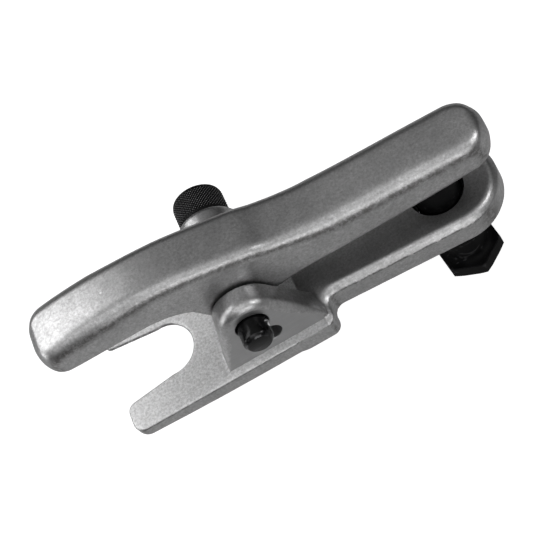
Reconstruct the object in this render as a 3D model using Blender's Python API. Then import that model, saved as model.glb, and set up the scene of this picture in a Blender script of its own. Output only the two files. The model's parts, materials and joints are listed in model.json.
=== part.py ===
"""Ball joint separator, screw and lever type, as separate solid pieces.

Metres, Z up.  X runs along the tool (fork at -X, screw at +X), Y is the pin axis
(knob at +Y).  Lengths below are millimetres measured from the working pin axis and
the tool's middle plane; `mm` and `place` turn them into the shared frame, whose
origin is the middle of the underside of the whole tool.
"""
import math

import bmesh
import bpy
from mathutils import Vector

# ---------------------------------------------------------------- frame
PIN_TO_ORIGIN = (17.4, 3.85, -63.7)    # origin of the shared frame, from the pin axis

# ---------------------------------------------------------------- lower arm
UNDERSIDE = -28.0
FORK_TOP = -19.4
ARM_TOP = -16.3
FORK_TIP_X = -57.5
FORK_HALF = 24.5                        # half width of the fork plate
FORK_TIP_ROUND = 4.6
FORK_INNER_ROUND = 3.5
SLOT_ROOT = (-35.6, 10.0)               # centre x and radius of the slot's round end
SLOT_FLARE = math.radians(7.0)
SHOULDER_X = 24.0                       # where the wide base steps in to the rear arm
LEDGE_END_X = 20.8
ARM_START_X = 8.0                       # the rear arm's metal begins under the ears
SHOULDER_ROUND = 3.6
SHOULDER_HOLLOW = 4.0
ARM_HALF_NEAR = 15.0
ARM_NEAR_X = 30.0
ARM_END = (79.6, 18.1)                  # centre x and radius of the arm's round end
ARM_ROUND = 3.2                         # edge radius along the rear arm's top, in plan
ARM_ROUND_TALL = 1.5                    # its height over its width
ARM_ROUND_LOW = 2.8
FORK_TAPER = ((-6.0, UNDERSIDE), (FORK_TIP_X, -24.9))   # x, z of the rising underside
SLOT_LIP = 1.2                          # plain depth of the slot's edge
SLOT_BEVEL = math.radians(38.0)         # undercut below the lip, from the vertical
SHOULDER_FALL = ((15.4, ARM_TOP), (FORK_HALF, FORK_TOP))  # y, z of the sloped shoulder

# ---------------------------------------------------------------- ears
EAR_INNER = 11.5
EAR_OUTER = 21.0                        # milled face of the front ear
EAR_OUTER_REAR = 24.3                   # forged face of the knob-side ear
EAR_R = 11.4
EAR_FRONT_FOOT = (-17.4, FORK_TOP)
EAR_REAR_FOOT = (22.3, -17.6)
EAR_REAR_FOOT_KNOB = (19.6, -17.6)      # kept inside the base's rounded corner
EAR_ROUND = 1.7
EAR_INNER_ROUND = 0.8
POCKET_X = (-15.0, 16.0)                # clearance for the lever's boss
POCKET_FLOOR = -22.9
BORE_R = 6.0
SPARE_BORE = (2.9, -10.3)               # x, z of the smaller cross hole below the pin
SPARE_BORE_R = 4.2
BORE_CHAMFER = 0.5

# ---------------------------------------------------------------- upper lever
LEVER_HALF = 11.0
LEVER_TOP = [(-66.5, 28.2), (-62.0, 29.4), (-56.0, 30.5), (-50.0, 31.2), (-44.0, 31.6),
             (-38.0, 31.8), (-32.0, 31.8), (-26.0, 31.6), (-20.0, 31.0), (-14.0, 30.2),
             (-8.0, 28.9), (0.0, 26.8), (8.0, 24.6), (14.0, 22.8), (19.0, 20.6),
             (24.0, 19.1), (29.0, 17.9), (36.0, 16.5), (46.0, 15.4), (60.0, 14.5),
             (75.0, 13.7), (90.0, 12.7), (101.3, 12.0)]
LEVER_BOTTOM = [(-66.5, 15.4), (-60.0, 14.7), (-54.0, 14.4), (-46.0, 14.3), (-36.0, 14.1),
                (-28.0, 13.3), (-20.0, 11.4), (-14.8, 8.6)]
LEVER_REAR_BOTTOM = [(8.7, -4.06), (13.0, -3.5), (20.0, -3.5), (40.0, -3.6),
                     (62.0, -3.6), (82.0, -3.4), (101.3, -2.4)]
LEVER_FRONT_X = -66.5
LEVER_REAR_X = 101.3
LEVER_BOSS_R = 9.6
LEVER_NOSE_ROUND = 7.4                  # plan radius at the nose's corners
LEVER_TAIL_ROUND = 9.6                  # plan radius at the rear end's corners
LEVER_EDGE_TOP = [(-66.5, 5.0), (-20.0, 5.2), (30.0, 4.2), (101.3, 3.9)]
LEVER_EDGE_TALL = 1.1                   # height of the top's rounding over its width
LEVER_EDGE_BOTTOM = 3.2
LEVER_END_EDGE = 3.4                    # edge radius where the ends turn down
CORNER_STEPS = 5

# ---------------------------------------------------------------- screw
SCREW_X = 75.5
HEX_AF = 22.0
HEX_TOP = -57.7
HEX_SIDE = 6.0
HEX_TURN = math.radians(-24.0)
NECK_R = 7.75
NECK_TOP = -39.0
THREAD_R = 8.9
THREAD_ROOT_R = 8.1
THREAD_PITCH = 1.5
THREAD_TOP = -20.6
STUD_R = 5.0
STUD_TOP = -8.6
STUD_GROOVE = (-12.1, -10.7)            # z band of the clip groove
STUD_GROOVE_R = 4.3
TAP_R = 9.25                            # hole in the arm, clear of the thread
COUNTERSINK_R = 9.9
COUNTERSINK_DEPTH = 3.2
CAP_R = 9.0
CAP_BOTTOM = -18.6
CAP_TOP = -3.85
CAP_DOME_R = 16.0
CAP_BORE_R = 5.4
CAP_BORE_TOP = -8.2
CAP_GROOVE_R = 5.85
CLIP_WIRE_R = 0.5
CLIP_R = 5.05
CLIP_GAP = math.radians(40.0)

# ---------------------------------------------------------------- pin, knob, detent
PIN_R = 5.5
PIN_FRONT = -29.0
PIN_BACK = 33.0
PIN_CHAMFER = 1.2
KNOB_R = 9.5
KNOB_FRONT = 24.7
KNOB_BACK = 36.7
KNOB_ROUND = 1.8
KNOB_BORE_R = 5.6
KNOB_BORE_END = 33.3
KNURL_DEPTH = 0.32
KNURL_AROUND = 32
BALL_R = 2.0
BALL_Y = -22.9
BALL_OUT = 3.9                          # ball centre from the pin axis
POCKET_R = 2.15
POCKET_END = -1.6                       # inner end of the ball's pocket
SPRING_R = 1.15
SPRING_WIRE_R = 0.2
SPRING_TURNS = 4.0
SPRING_SPAN = (-1.3, 1.3)


def mm(x, y, z):
    """A point given from the pin axis in millimetres, in the shared frame in metres."""
    ox, oy, oz = PIN_TO_ORIGIN
    return Vector(((x - ox) / 1000.0, (y - oy) / 1000.0, (z - oz) / 1000.0))


def clear_scene():
    for item in list(bpy.data.objects):
        bpy.data.objects.remove(item, do_unlink=True)


def finish_material(name, colour, metallic, roughness):
    material = bpy.data.materials.new(name)
    material.use_nodes = True
    shader = material.node_tree.nodes["Principled BSDF"]
    shader.inputs["Base Color"].default_value = (*colour, 1.0)
    shader.inputs["Metallic"].default_value = metallic
    shader.inputs["Roughness"].default_value = roughness
    return material


def table(points, x):
    """Value at x of a smooth curve through (x, value) points."""
    if x <= points[0][0]:
        return points[0][1]
    if x >= points[-1][0]:
        return points[-1][1]
    for index in range(len(points) - 1):
        x0, v0 = points[index]
        x1, v1 = points[index + 1]
        if x <= x1:
            before = points[max(index - 1, 0)]
            after = points[min(index + 2, len(points) - 1)]
            slope0 = (v1 - before[1]) / (x1 - before[0])
            slope1 = (after[1] - v0) / (after[0] - x0)
            span = x1 - x0
            t = (x - x0) / span
            h00 = 2 * t**3 - 3 * t**2 + 1
            h10 = t**3 - 2 * t**2 + t
            h01 = -2 * t**3 + 3 * t**2
            h11 = t**3 - t**2
            return h00 * v0 + h10 * span * slope0 + h01 * v1 + h11 * span * slope1
    return points[-1][1]


def arc(cx, cy, radius, start, end, steps):
    """Points on an arc; angles in radians, both ends kept."""
    points = []
    for index in range(steps + 1):
        angle = start + (end - start) * index / steps
        points.append((cx + radius * math.cos(angle), cy + radius * math.sin(angle)))
    return points


def mesh_object(name, bm, material, origin=None):
    """Turn a bmesh (already in the shared frame) into a named, smooth-shaded object."""
    bmesh.ops.remove_doubles(bm, verts=bm.verts, dist=1e-7)
    bmesh.ops.recalc_face_normals(bm, faces=bm.faces)
    mesh = bpy.data.meshes.new(name)
    origin = Vector(origin) if origin is not None else Vector((0.0, 0.0, 0.0))
    for vertex in bm.verts:
        vertex.co -= origin
    bm.to_mesh(mesh)
    bm.free()
    item = bpy.data.objects.new(name, mesh)
    item.location = origin
    bpy.context.scene.collection.objects.link(item)
    if material is not None:
        mesh.materials.append(material)
    mesh.shade_smooth()
    mesh.set_sharp_from_angle(angle=math.radians(32.0))
    return item


def skin(bm, rings, closed_rings=True):
    """Join a list of equal rings of points with quads and cap both ends."""
    loops = []
    for ring in rings:
        loops.append([bm.verts.new(point) for point in ring])
    count = len(loops[0])
    for near, far in zip(loops[:-1], loops[1:]):
        for index in range(count):
            following = (index + 1) % count
            bm.faces.new((near[index], near[following], far[following], far[index]))
    if closed_rings:
        bm.faces.new(list(reversed(loops[0])))
        bm.faces.new(loops[-1])


def prism(outline, low, high, axis="Z"):
    """A bmesh of an outline pushed from low to high along Z (or along Y, from x, z)."""
    bm = bmesh.new()
    if axis == "Z":
        rings = [[mm(x, y, level) for x, y in outline] for level in (low, high)]
    else:
        rings = [[mm(x, level, z) for x, z in outline] for level in (low, high)]
    skin(bm, rings)
    return bm


def turned(profile, centre, axis, steps):
    """A bmesh turned from (along, radius) points about an axis through centre."""
    bm = bmesh.new()
    cx, cy, cz = centre
    rings = []
    for along, radius in profile:
        ring = []
        for index in range(steps):
            angle = 2.0 * math.pi * index / steps
            a = radius * math.cos(angle)
            b = radius * math.sin(angle)
            if axis == "Y":
                ring.append(mm(cx + a, along, cz + b))
            elif axis == "X":
                ring.append(mm(along, cy + a, cz + b))
            else:
                ring.append(mm(cx + a, cy + b, along))
        rings.append(ring)
    skin(bm, rings)
    return bm


def cut(target, bm, name, operation="DIFFERENCE"):
    """Apply a boolean with a hidden cutter object made from bm."""
    tool = mesh_object(name, bm, None)
    tool.hide_render = True
    tool.hide_set(True)
    tool.display_type = "WIRE"
    step = target.modifiers.new(name, "BOOLEAN")
    step.operation = operation
    step.solver = "EXACT"
    step.object = tool
    bpy.context.view_layer.update()
    graph = bpy.context.evaluated_depsgraph_get()
    done = bpy.data.meshes.new_from_object(target.evaluated_get(graph))
    target.modifiers.remove(step)
    old = target.data
    target.data = done
    bpy.data.meshes.remove(old)
    bpy.data.objects.remove(tool, do_unlink=True)


def smooth(target):
    target.data.shade_smooth()
    target.data.set_sharp_from_angle(angle=math.radians(32.0))


def offset(outline, inset):
    """Move a counter-clockwise outline inwards by inset, mitred at every point."""
    moved = []
    count = len(outline)
    for index in range(count):
        before = Vector(outline[index - 1])
        here = Vector(outline[index])
        after = Vector(outline[(index + 1) % count])
        edge_in = (here - before).normalized()
        edge_out = (after - here).normalized()
        normal_in = Vector((-edge_in.y, edge_in.x))
        normal_out = Vector((-edge_out.y, edge_out.x))
        normal = (normal_in + normal_out).normalized()
        scale = inset / max(normal.dot(normal_in), 0.4)
        moved.append((here.x + normal.x * scale, here.y + normal.y * scale))
    return moved


def rounded_plate(outline, low, high, low_round, high_round, axis="Z", tall=1.0, steps=4):
    """A plate with rounded rims, stacked from inset copies of its outline."""
    levels = []
    for index in range(steps + 1):
        angle = math.pi / 2 * index / steps
        inset = low_round * (1.0 - math.sin(angle))
        levels.append((inset, low + low_round * (1.0 - math.cos(angle))))
    for index in range(steps + 1):
        angle = math.pi / 2 * index / steps
        inset = high_round * (1.0 - math.cos(angle))
        levels.append((inset, high - tall * high_round * (1.0 - math.sin(angle))))
    bm = bmesh.new()
    rings = []
    for inset, level in levels:
        ring = offset(outline, inset)
        if axis == "Z":
            rings.append([mm(x, y, level) for x, y in ring])
        else:
            rings.append([mm(x, level, z) for x, z in ring])
    skin(bm, rings)
    return bm


def mirrored(half):
    """Close a half outline (y >= 0) with its mirror image below the X axis."""
    other = [(x, -y) for x, y in reversed(half) if abs(y) > 1e-9]
    return half + other


# ---------------------------------------------------------------- lower arm
def plate_outline():
    """Plan of the whole arm, counter-clockwise from the rear end to the fork's slot."""
    end_x, end_r = ARM_END
    turn = SHOULDER_ROUND
    hollow = SHOULDER_HOLLOW
    lean = math.asin((end_r - ARM_HALF_NEAR) / (end_x - ARM_NEAR_X))
    half = arc(end_x, 0.0, end_r, 0.0, math.pi / 2 + lean, 12)
    half += arc(SHOULDER_X + hollow, ARM_HALF_NEAR + hollow, hollow,
                1.5 * math.pi, math.pi, 5)
    side = FORK_HALF
    half += arc(SHOULDER_X - turn, side - turn, turn, 0.0, math.pi / 2, 5)
    tip = FORK_TIP_ROUND
    half += arc(FORK_TIP_X + tip, side - tip, tip, math.pi / 2, math.pi, 5)
    root_x, root_r = SLOT_ROOT
    inner = FORK_INNER_ROUND
    mouth_x = FORK_TIP_X + inner
    tangent_x = root_x - root_r * math.sin(SLOT_FLARE)
    tangent_y = root_r * math.cos(SLOT_FLARE)
    mouth_y = tangent_y + (tangent_x - mouth_x) * math.tan(SLOT_FLARE)
    half += arc(mouth_x, mouth_y + inner, inner, math.pi, 1.5 * math.pi - SLOT_FLARE, 5)
    half += arc(root_x, 0.0, root_r, math.pi / 2 + SLOT_FLARE, 0.0, 12)
    half[-1] = (root_x + root_r, 0.0)
    half[0] = (end_x + end_r, 0.0)
    return mirrored(half)


def ear_outline(rear_foot):
    """Side view of an ear: round over the bore, straight flanks to the plate."""
    front_x, front_z = EAR_FRONT_FOOT
    rear_x, rear_z = rear_foot
    front_turn = math.atan2(front_z, front_x)
    front_turn -= math.acos(EAR_R / math.hypot(front_x, front_z))
    rear_turn = math.atan2(rear_z, rear_x)
    rear_turn += math.acos(EAR_R / math.hypot(rear_x, rear_z))
    top = arc(0.0, 0.0, EAR_R, rear_turn, front_turn % (2 * math.pi), 14)
    front_top = top[-1]
    sunk = UNDERSIDE + 2.0
    front_slope = (front_x - front_top[0]) / (front_z - front_top[1])
    front_low = (front_top[0] + (sunk - front_top[1]) * front_slope, sunk)
    return [(rear_x, sunk), (rear_x, rear_z)] + top + [front_low]


def box(low, high):
    bm = bmesh.new()
    (x0, y0, z0), (x1, y1, z1) = low, high
    outline = [(x0, y0), (x1, y0), (x1, y1), (x0, y1)]
    skin(bm, [[mm(x, y, z) for x, y in outline] for z in (z0, z1)])
    return bm


def bore_cutter(x, z, near, far, r, chamfer):
    """A bore along Y from near to far, opened out by a chamfer at both faces."""
    over = 1.0
    profile = [(near - over, r + chamfer + over), (near + chamfer, r),
               (far - chamfer, r), (far + over, r + chamfer + over)]
    return turned(profile, (x, 0.0, z), "Y", 40)


def cut_fork_underside(arm):
    """Thin the fork towards its tips and undercut the slot's edge."""
    (near_x, near_z), (tip_x, tip_z) = FORK_TAPER
    slope = (tip_z - near_z) / (tip_x - near_x)
    wedge = [(tip_x - 5.0, UNDERSIDE - 2.0), (near_x + 2.0, UNDERSIDE - 2.0),
             (near_x + 2.0, near_z + 2.0 * slope), (tip_x - 5.0, tip_z - 5.0 * slope)]
    cut(arm, prism(wedge, -FORK_HALF - 3.0, FORK_HALF + 3.0, "Y"), "underside_taper")
    root_x, root_r = SLOT_ROOT
    mouth = FORK_TIP_X - 12.0
    tangent_x = root_x - root_r * math.sin(SLOT_FLARE)
    tangent_y = root_r * math.cos(SLOT_FLARE)
    mouth_y = tangent_y + (tangent_x - mouth) * math.tan(SLOT_FLARE)
    slot = arc(root_x, 0.0, root_r, -math.pi / 2 - SLOT_FLARE, math.pi / 2 + SLOT_FLARE, 24)
    slot = slot + [(mouth, mouth_y), (mouth, -mouth_y)]
    start = FORK_TOP - SLOT_LIP
    end = UNDERSIDE - 1.0
    spread = (start - end) * math.tan(SLOT_BEVEL)
    bm = bmesh.new()
    rings = []
    for inset, level in ((0.3, start), (-spread, end)):
        rings.append([mm(x, y, level) for x, y in offset(slot, inset)])
    skin(bm, rings)
    cut(arm, bm, "slot_bevel")


def make_lower_arm(material):
    plate = rounded_plate(plate_outline(), UNDERSIDE, ARM_TOP, ARM_ROUND_LOW, ARM_ROUND,
                          tall=ARM_ROUND_TALL)
    arm = mesh_object("lower_arm", plate, material)
    front = FORK_TIP_X - 10.0
    side = FORK_HALF + 5.0
    wall = EAR_OUTER - 0.4
    milled = [(front, -side), (LEDGE_END_X, -side), (LEDGE_END_X, -wall),
              (ARM_START_X, -wall), (ARM_START_X, wall), (LEDGE_END_X, wall),
              (LEDGE_END_X, side), (front, side)]
    cut(arm, prism(milled, FORK_TOP, 0.0), "milled_top")
    cut_fork_underside(arm)
    for side in (-1.0, 1.0):
        (near, high), (far, low) = SHOULDER_FALL
        slope = (low - high) / (far - near)
        profile = [(near - 1.0, high - slope), (far + 2.0, low + 2.0 * slope),
                   (far + 2.0, 0.0), (near - 1.0, 0.0)]
        bm = bmesh.new()
        rings = []
        for x in (LEDGE_END_X - 2.0, SHOULDER_X + SHOULDER_HOLLOW + 2.0):
            rings.append([mm(x, side * y, z) for y, z in profile])
        skin(bm, rings)
        cut(arm, bm, "shoulder_fall")
    deep = EAR_INNER + 1.0
    cut(arm, box((POCKET_X[0], -deep, POCKET_FLOOR), (POCKET_X[1], deep, 10.0)), "pocket")
    spans = ((-EAR_OUTER, -EAR_INNER), (EAR_INNER, EAR_OUTER_REAR))
    front, rear = spans
    front_ear = rounded_plate(ear_outline(EAR_REAR_FOOT), *front, EAR_ROUND, EAR_INNER_ROUND,
                              "Y")
    cut(arm, front_ear, "front_ear", "UNION")
    rear_ear = rounded_plate(ear_outline(EAR_REAR_FOOT_KNOB), *rear, EAR_INNER_ROUND, EAR_ROUND,
                             "Y")
    cut(arm, rear_ear, "rear_ear", "UNION")
    for low, high in spans:
        cut(arm, bore_cutter(0.0, 0.0, low, high, BORE_R, BORE_CHAMFER), "pin_bore")
        x, z = SPARE_BORE
        cut(arm, bore_cutter(x, z, low, high, SPARE_BORE_R, 0.2), "cross_hole")
    sink = COUNTERSINK_R - TAP_R
    hole = [(UNDERSIDE - 1.0, TAP_R + 1.6), (UNDERSIDE + 0.8, TAP_R),
            (ARM_TOP - COUNTERSINK_DEPTH, TAP_R), (ARM_TOP - COUNTERSINK_DEPTH + sink,
            COUNTERSINK_R), (ARM_TOP + 1.0, COUNTERSINK_R)]
    cut(arm, turned(hole, (SCREW_X, 0.0, 0.0), "Z", 48), "screw_hole")
    smooth(arm)
    return arm


# ---------------------------------------------------------------- upper lever
def lever_low(x):
    """Height of the lever's underside at x, with the boss hanging round the pin."""
    front_x, front_z = LEVER_BOTTOM[-1]
    boss_front = math.radians(190.0)
    start_x = LEVER_BOSS_R * math.cos(boss_front)
    start_z = LEVER_BOSS_R * math.sin(boss_front)
    rear_x = LEVER_REAR_BOTTOM[0][0]
    if x <= front_x:
        return table(LEVER_BOTTOM, x)
    if x <= start_x:
        return front_z + (start_z - front_z) * (x - front_x) / (start_x - front_x)
    if x <= rear_x:
        return -math.sqrt(max(LEVER_BOSS_R**2 - x * x, 0.0))
    return table(LEVER_REAR_BOTTOM, x)


def lever_stations():
    """X positions of the lever's cross-sections, closer at the ends and the boss."""
    places = set()
    for index in range(9):
        back = 1.0 - math.sin(math.pi / 2 * index / 8)
        places.add(round(LEVER_FRONT_X + LEVER_NOSE_ROUND * back, 4))
        places.add(round(LEVER_REAR_X - LEVER_TAIL_ROUND * back, 4))
    for x in (-54.0, -49.0, -44.0, -38.0, -32.0, -26.0, -20.0, -16.0, -14.8, -12.5, -10.8,
              11.0, 13.0, 17.0, 22.0, 28.0, 35.0, 43.0, 52.0, 61.0, 70.0, 79.0, 86.0):
        places.add(x)
    boss = math.radians(190.0)
    for index in range(13):
        angle = boss + (math.radians(335.0) - boss) * index / 12
        places.add(round(LEVER_BOSS_R * math.cos(angle), 4))
    return sorted(places)


def end_drop(distance, radius):
    """How far a rounded end has fallen back at a distance from its tip."""
    if distance >= radius:
        return 0.0
    reach = radius - distance
    return radius - math.sqrt(max(radius * radius - reach * reach, 0.0))


def lever_section(x):
    """Closed cross-section ring at x: flat faces with four rounded corners."""
    to_tip = min(x - LEVER_FRONT_X, LEVER_REAR_X - x)
    turn = LEVER_NOSE_ROUND if x < 0.0 else LEVER_TAIL_ROUND
    half = LEVER_HALF - end_drop(to_tip, turn)
    edge_drop = end_drop(to_tip, LEVER_END_EDGE)
    top = table(LEVER_TOP, x) - edge_drop
    low = lever_low(x) + edge_drop
    room = 0.48 * (top - low)
    top_edge = min(table(LEVER_EDGE_TOP, x), 0.95 * half, room)
    near_boss = min(max((abs(x) - 9.0) / 9.0, 0.0), 1.0)
    low_edge = 0.8 + (LEVER_EDGE_BOTTOM - 0.8) * near_boss
    low_edge = min(low_edge, 0.95 * half, room)
    tall = min(LEVER_EDGE_TALL, max(top - low - low_edge - 0.4, 0.1) / top_edge)
    ring = []
    corners = ((half, low, low_edge, 1.0, -0.5), (half, top, top_edge, tall, 0.0),
               (-half, top, top_edge, tall, 0.5), (-half, low, low_edge, 1.0, 1.0))
    for y_edge, z_edge, radius, stretch, start in corners:
        centre_y = y_edge - math.copysign(radius, y_edge)
        centre_z = z_edge + (radius if z_edge == low else -radius * stretch)
        for y, z in arc(centre_y, 0.0, radius, start * math.pi,
                        (start + 0.5) * math.pi, CORNER_STEPS):
            ring.append(mm(x, y, centre_z + z * stretch))
    return ring


def make_upper_lever(material):
    bm = bmesh.new()
    skin(bm, [lever_section(x) for x in lever_stations()])
    lever = mesh_object("upper_lever", bm, material, mm(0.0, 0.0, 0.0))
    bore = bore_cutter(0.0, 0.0, -LEVER_HALF, LEVER_HALF, BORE_R, BORE_CHAMFER)
    cut(lever, bore, "lever_bore")
    smooth(lever)
    return lever


# ---------------------------------------------------------------- screw, cap, clip
def thread_rings():
    """Rings of the shank from the hexagon to the stud, with a right-hand thread."""
    around = 28
    rings = []

    def plain(level, radius):
        ring = []
        for index in range(around):
            angle = 2.0 * math.pi * index / around
            ring.append(mm(SCREW_X + radius * math.cos(angle), radius * math.sin(angle), level))
        rings.append(ring)

    plain(HEX_TOP - 2.0, NECK_R)
    plain(HEX_TOP, NECK_R)
    plain(NECK_TOP, NECK_R)
    per_turn = 4
    count = int(round((THREAD_TOP - NECK_TOP - 1.2) / THREAD_PITCH * per_turn))
    for step in range(count + 1):
        level = NECK_TOP + 0.6 + step * THREAD_PITCH / per_turn
        ring = []
        for index in range(around):
            turn = index / around
            phase = ((level / THREAD_PITCH) - turn) % 1.0
            height = 1.0 - abs(2.0 * phase - 1.0)
            radius = THREAD_ROOT_R + (THREAD_R - THREAD_ROOT_R) * height
            angle = 2.0 * math.pi * turn
            ring.append(mm(SCREW_X + radius * math.cos(angle), radius * math.sin(angle), level))
        rings.append(ring)
    plain(THREAD_TOP, THREAD_ROOT_R - 0.6)
    plain(THREAD_TOP, STUD_R)
    plain(STUD_GROOVE[0], STUD_R)
    plain(STUD_GROOVE[0], STUD_GROOVE_R)
    plain(STUD_GROOVE[1], STUD_GROOVE_R)
    plain(STUD_GROOVE[1], STUD_R)
    plain(STUD_TOP - 0.5, STUD_R)
    plain(STUD_TOP, STUD_R - 0.5)
    return rings


def make_screw(material):
    corner = HEX_AF / 2 / math.cos(math.pi / 6)
    outline = []
    for index in range(6):
        angle = HEX_TURN + index * math.pi / 3
        outline.append((SCREW_X + corner * math.cos(angle), corner * math.sin(angle)))
    low = HEX_TOP - HEX_SIDE
    head = prism(outline, low, HEX_TOP)
    screw = mesh_object("pressure_screw", head, material, mm(SCREW_X, 0.0, HEX_TOP))
    rim = corner + 0.2
    chamfer = [(low - 0.01, HEX_AF / 2 - 0.4), (low + 1.0, rim), (HEX_TOP + 0.01, rim)]
    cut(screw, turned(chamfer, (SCREW_X, 0.0, 0.0), "Z", 48), "hex_chamfer", "INTERSECT")
    bm = bmesh.new()
    skin(bm, thread_rings())
    cut(screw, bm, "shank", "UNION")
    smooth(screw)
    return screw


def make_cap(material):
    """The plain thrust cap that sits on the screw's stud and bears on the lever."""
    rim_z = CAP_TOP - (CAP_DOME_R - math.sqrt(CAP_DOME_R**2 - CAP_R**2))
    outside = [(CAP_BOTTOM, CAP_R - 0.4), (CAP_BOTTOM + 0.4, CAP_R), (rim_z - 0.4, CAP_R)]
    for step in range(6):
        radius = (CAP_R - 0.25) * (1.0 - step / 5.5)
        drop = CAP_DOME_R - math.sqrt(CAP_DOME_R**2 - radius**2)
        outside.append((CAP_TOP - drop, radius))
    cap = mesh_object("thrust_cap", turned(outside, (SCREW_X, 0.0, 0.0), "Z", 48), material,
                      mm(SCREW_X, 0.0, CAP_TOP))
    inside = [(CAP_BOTTOM - 1.0, CAP_BORE_R), (STUD_GROOVE[0], CAP_BORE_R),
              (STUD_GROOVE[0], CAP_GROOVE_R), (STUD_GROOVE[1], CAP_GROOVE_R),
              (STUD_GROOVE[1], CAP_BORE_R), (CAP_BORE_TOP, CAP_BORE_R)]
    cut(cap, turned(inside, (SCREW_X, 0.0, 0.0), "Z", 36), "cap_bore")
    smooth(cap)
    return cap


def wire_tube(path, radius, sides):
    """A round wire along a list of points in the shared frame."""
    bm = bmesh.new()
    rings = []
    count = len(path)
    for index in range(count):
        before = path[max(index - 1, 0)]
        after = path[min(index + 1, count - 1)]
        along = (after - before).normalized()
        side = along.cross(Vector((0.0, 0.0, 1.0)))
        if side.length < 0.2:
            side = along.cross(Vector((0.0, 1.0, 0.0)))
        side.normalize()
        other = along.cross(side)
        ring = []
        for step in range(sides):
            angle = 2.0 * math.pi * step / sides
            swing = side * math.cos(angle) + other * math.sin(angle)
            ring.append(path[index] + swing * radius / 1000.0)
        rings.append(ring)
    skin(bm, rings)
    return bm


def make_clip(material):
    level = 0.5 * (STUD_GROOVE[0] + STUD_GROOVE[1])
    path = []
    for x, y in arc(SCREW_X, 0.0, CLIP_R, CLIP_GAP / 2, 2.0 * math.pi - CLIP_GAP / 2, 30):
        path.append(mm(x, y, level))
    return mesh_object("cap_clip", wire_tube(path, CLIP_WIRE_R, 8), material)


# ---------------------------------------------------------------- pin and knob
def make_pin(material):
    profile = [(PIN_FRONT, PIN_R - PIN_CHAMFER), (PIN_FRONT + PIN_CHAMFER, PIN_R),
               (PIN_BACK - 0.5, PIN_R), (PIN_BACK, PIN_R - 0.5)]
    pin = mesh_object("pivot_pin", turned(profile, (0.0, 0.0, 0.0), "Y", 40), material,
                      mm(0.0, 0.0, 0.0))
    seat = [(POCKET_END, POCKET_R), (PIN_R + 1.0, POCKET_R)]
    cut(pin, turned(seat, (0.0, BALL_Y, 0.0), "X", 20), "ball_pocket")
    smooth(pin)
    return pin


def make_knob(material):
    """Knurled grip with a blind bore for the pin and smooth rims."""
    around = 2 * KNURL_AROUND
    rows = 15
    rings = []

    def ring_at(level, radius_of):
        ring = []
        for index in range(around):
            angle = 2.0 * math.pi * index / around
            radius = radius_of(index)
            ring.append(mm(radius * math.cos(angle), level, radius * math.sin(angle)))
        rings.append(ring)

    low = KNOB_FRONT
    high = KNOB_BACK
    ring_at(low, lambda index: KNOB_R - 1.1)
    ring_at(low + 0.7, lambda index: KNOB_R - KNURL_DEPTH)
    start = low + 1.1
    end = high - KNOB_ROUND - 0.2
    for row in range(rows + 1):
        level = start + (end - start) * row / rows
        ring_at(level, lambda index: KNOB_R - KNURL_DEPTH * ((index + row) % 2))
    for angle in (0.0, 0.35, 0.7, 1.05, 1.4):
        drop = KNOB_ROUND * (1.0 - math.cos(angle))
        level = high - KNOB_ROUND * (1.0 - math.sin(angle) * 1.015)
        ring_at(level, lambda index: KNOB_R - KNURL_DEPTH - drop)
    bm = bmesh.new()
    skin(bm, rings)
    knob = mesh_object("knob", bm, material, mm(0.0, KNOB_FRONT, 0.0))
    bore = [(low - 1.0, KNOB_BORE_R), (KNOB_BORE_END, KNOB_BORE_R)]
    cut(knob, turned(bore, (0.0, 0.0, 0.0), "Y", 40), "pin_socket")
    smooth(knob)
    return knob


def make_ball(material):
    bm = bmesh.new()
    bmesh.ops.create_uvsphere(bm, u_segments=20, v_segments=12, radius=BALL_R / 1000.0)
    centre = mm(BALL_OUT, BALL_Y, 0.0)
    bmesh.ops.translate(bm, vec=centre, verts=bm.verts)
    return mesh_object("detent_ball", bm, material, centre)


def make_spring(material):
    start, end = SPRING_SPAN
    steps = int(SPRING_TURNS * 12)
    path = []
    for index in range(steps + 1):
        angle = 2.0 * math.pi * SPRING_TURNS * index / steps
        along = start + (end - start) * index / steps
        path.append(mm(along, BALL_Y + SPRING_R * math.cos(angle),
                       SPRING_R * math.sin(angle)))
    return mesh_object("detent_spring", wire_tube(path, SPRING_WIRE_R, 6), material)


def main():
    clear_scene()
    forged = finish_material("forged_steel", (0.46, 0.46, 0.47), 0.9, 0.42)
    black = finish_material("black_oxide", (0.02, 0.02, 0.021), 0.6, 0.4)
    knurled = finish_material("black_knurl", (0.015, 0.015, 0.016), 0.5, 0.5)
    bright = finish_material("bright_ball", (0.8, 0.8, 0.82), 1.0, 0.12)
    wire = finish_material("spring_wire", (0.5, 0.5, 0.52), 1.0, 0.3)
    make_lower_arm(forged)
    make_upper_lever(forged)
    make_screw(black)
    make_cap(black)
    make_clip(wire)
    make_pin(black)
    make_knob(knurled)
    make_ball(bright)
    make_spring(wire)


main()
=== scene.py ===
"""Looks of a screw-and-lever ball joint separator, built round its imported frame.

Every piece is made in metres in the frame's own coordinates.  Sizes are written in
millimetres from the pivot pin's axis and the tool's middle plane, as a toolmaker
would dimension them, and `Datum` turns them into frame coordinates.
"""

import json
import logging
import math
from dataclasses import dataclass, field
from enum import Enum
from typing import Callable, Sequence, Union

import bmesh
import bpy
import numpy as np
from mathutils import Matrix, Vector


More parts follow.
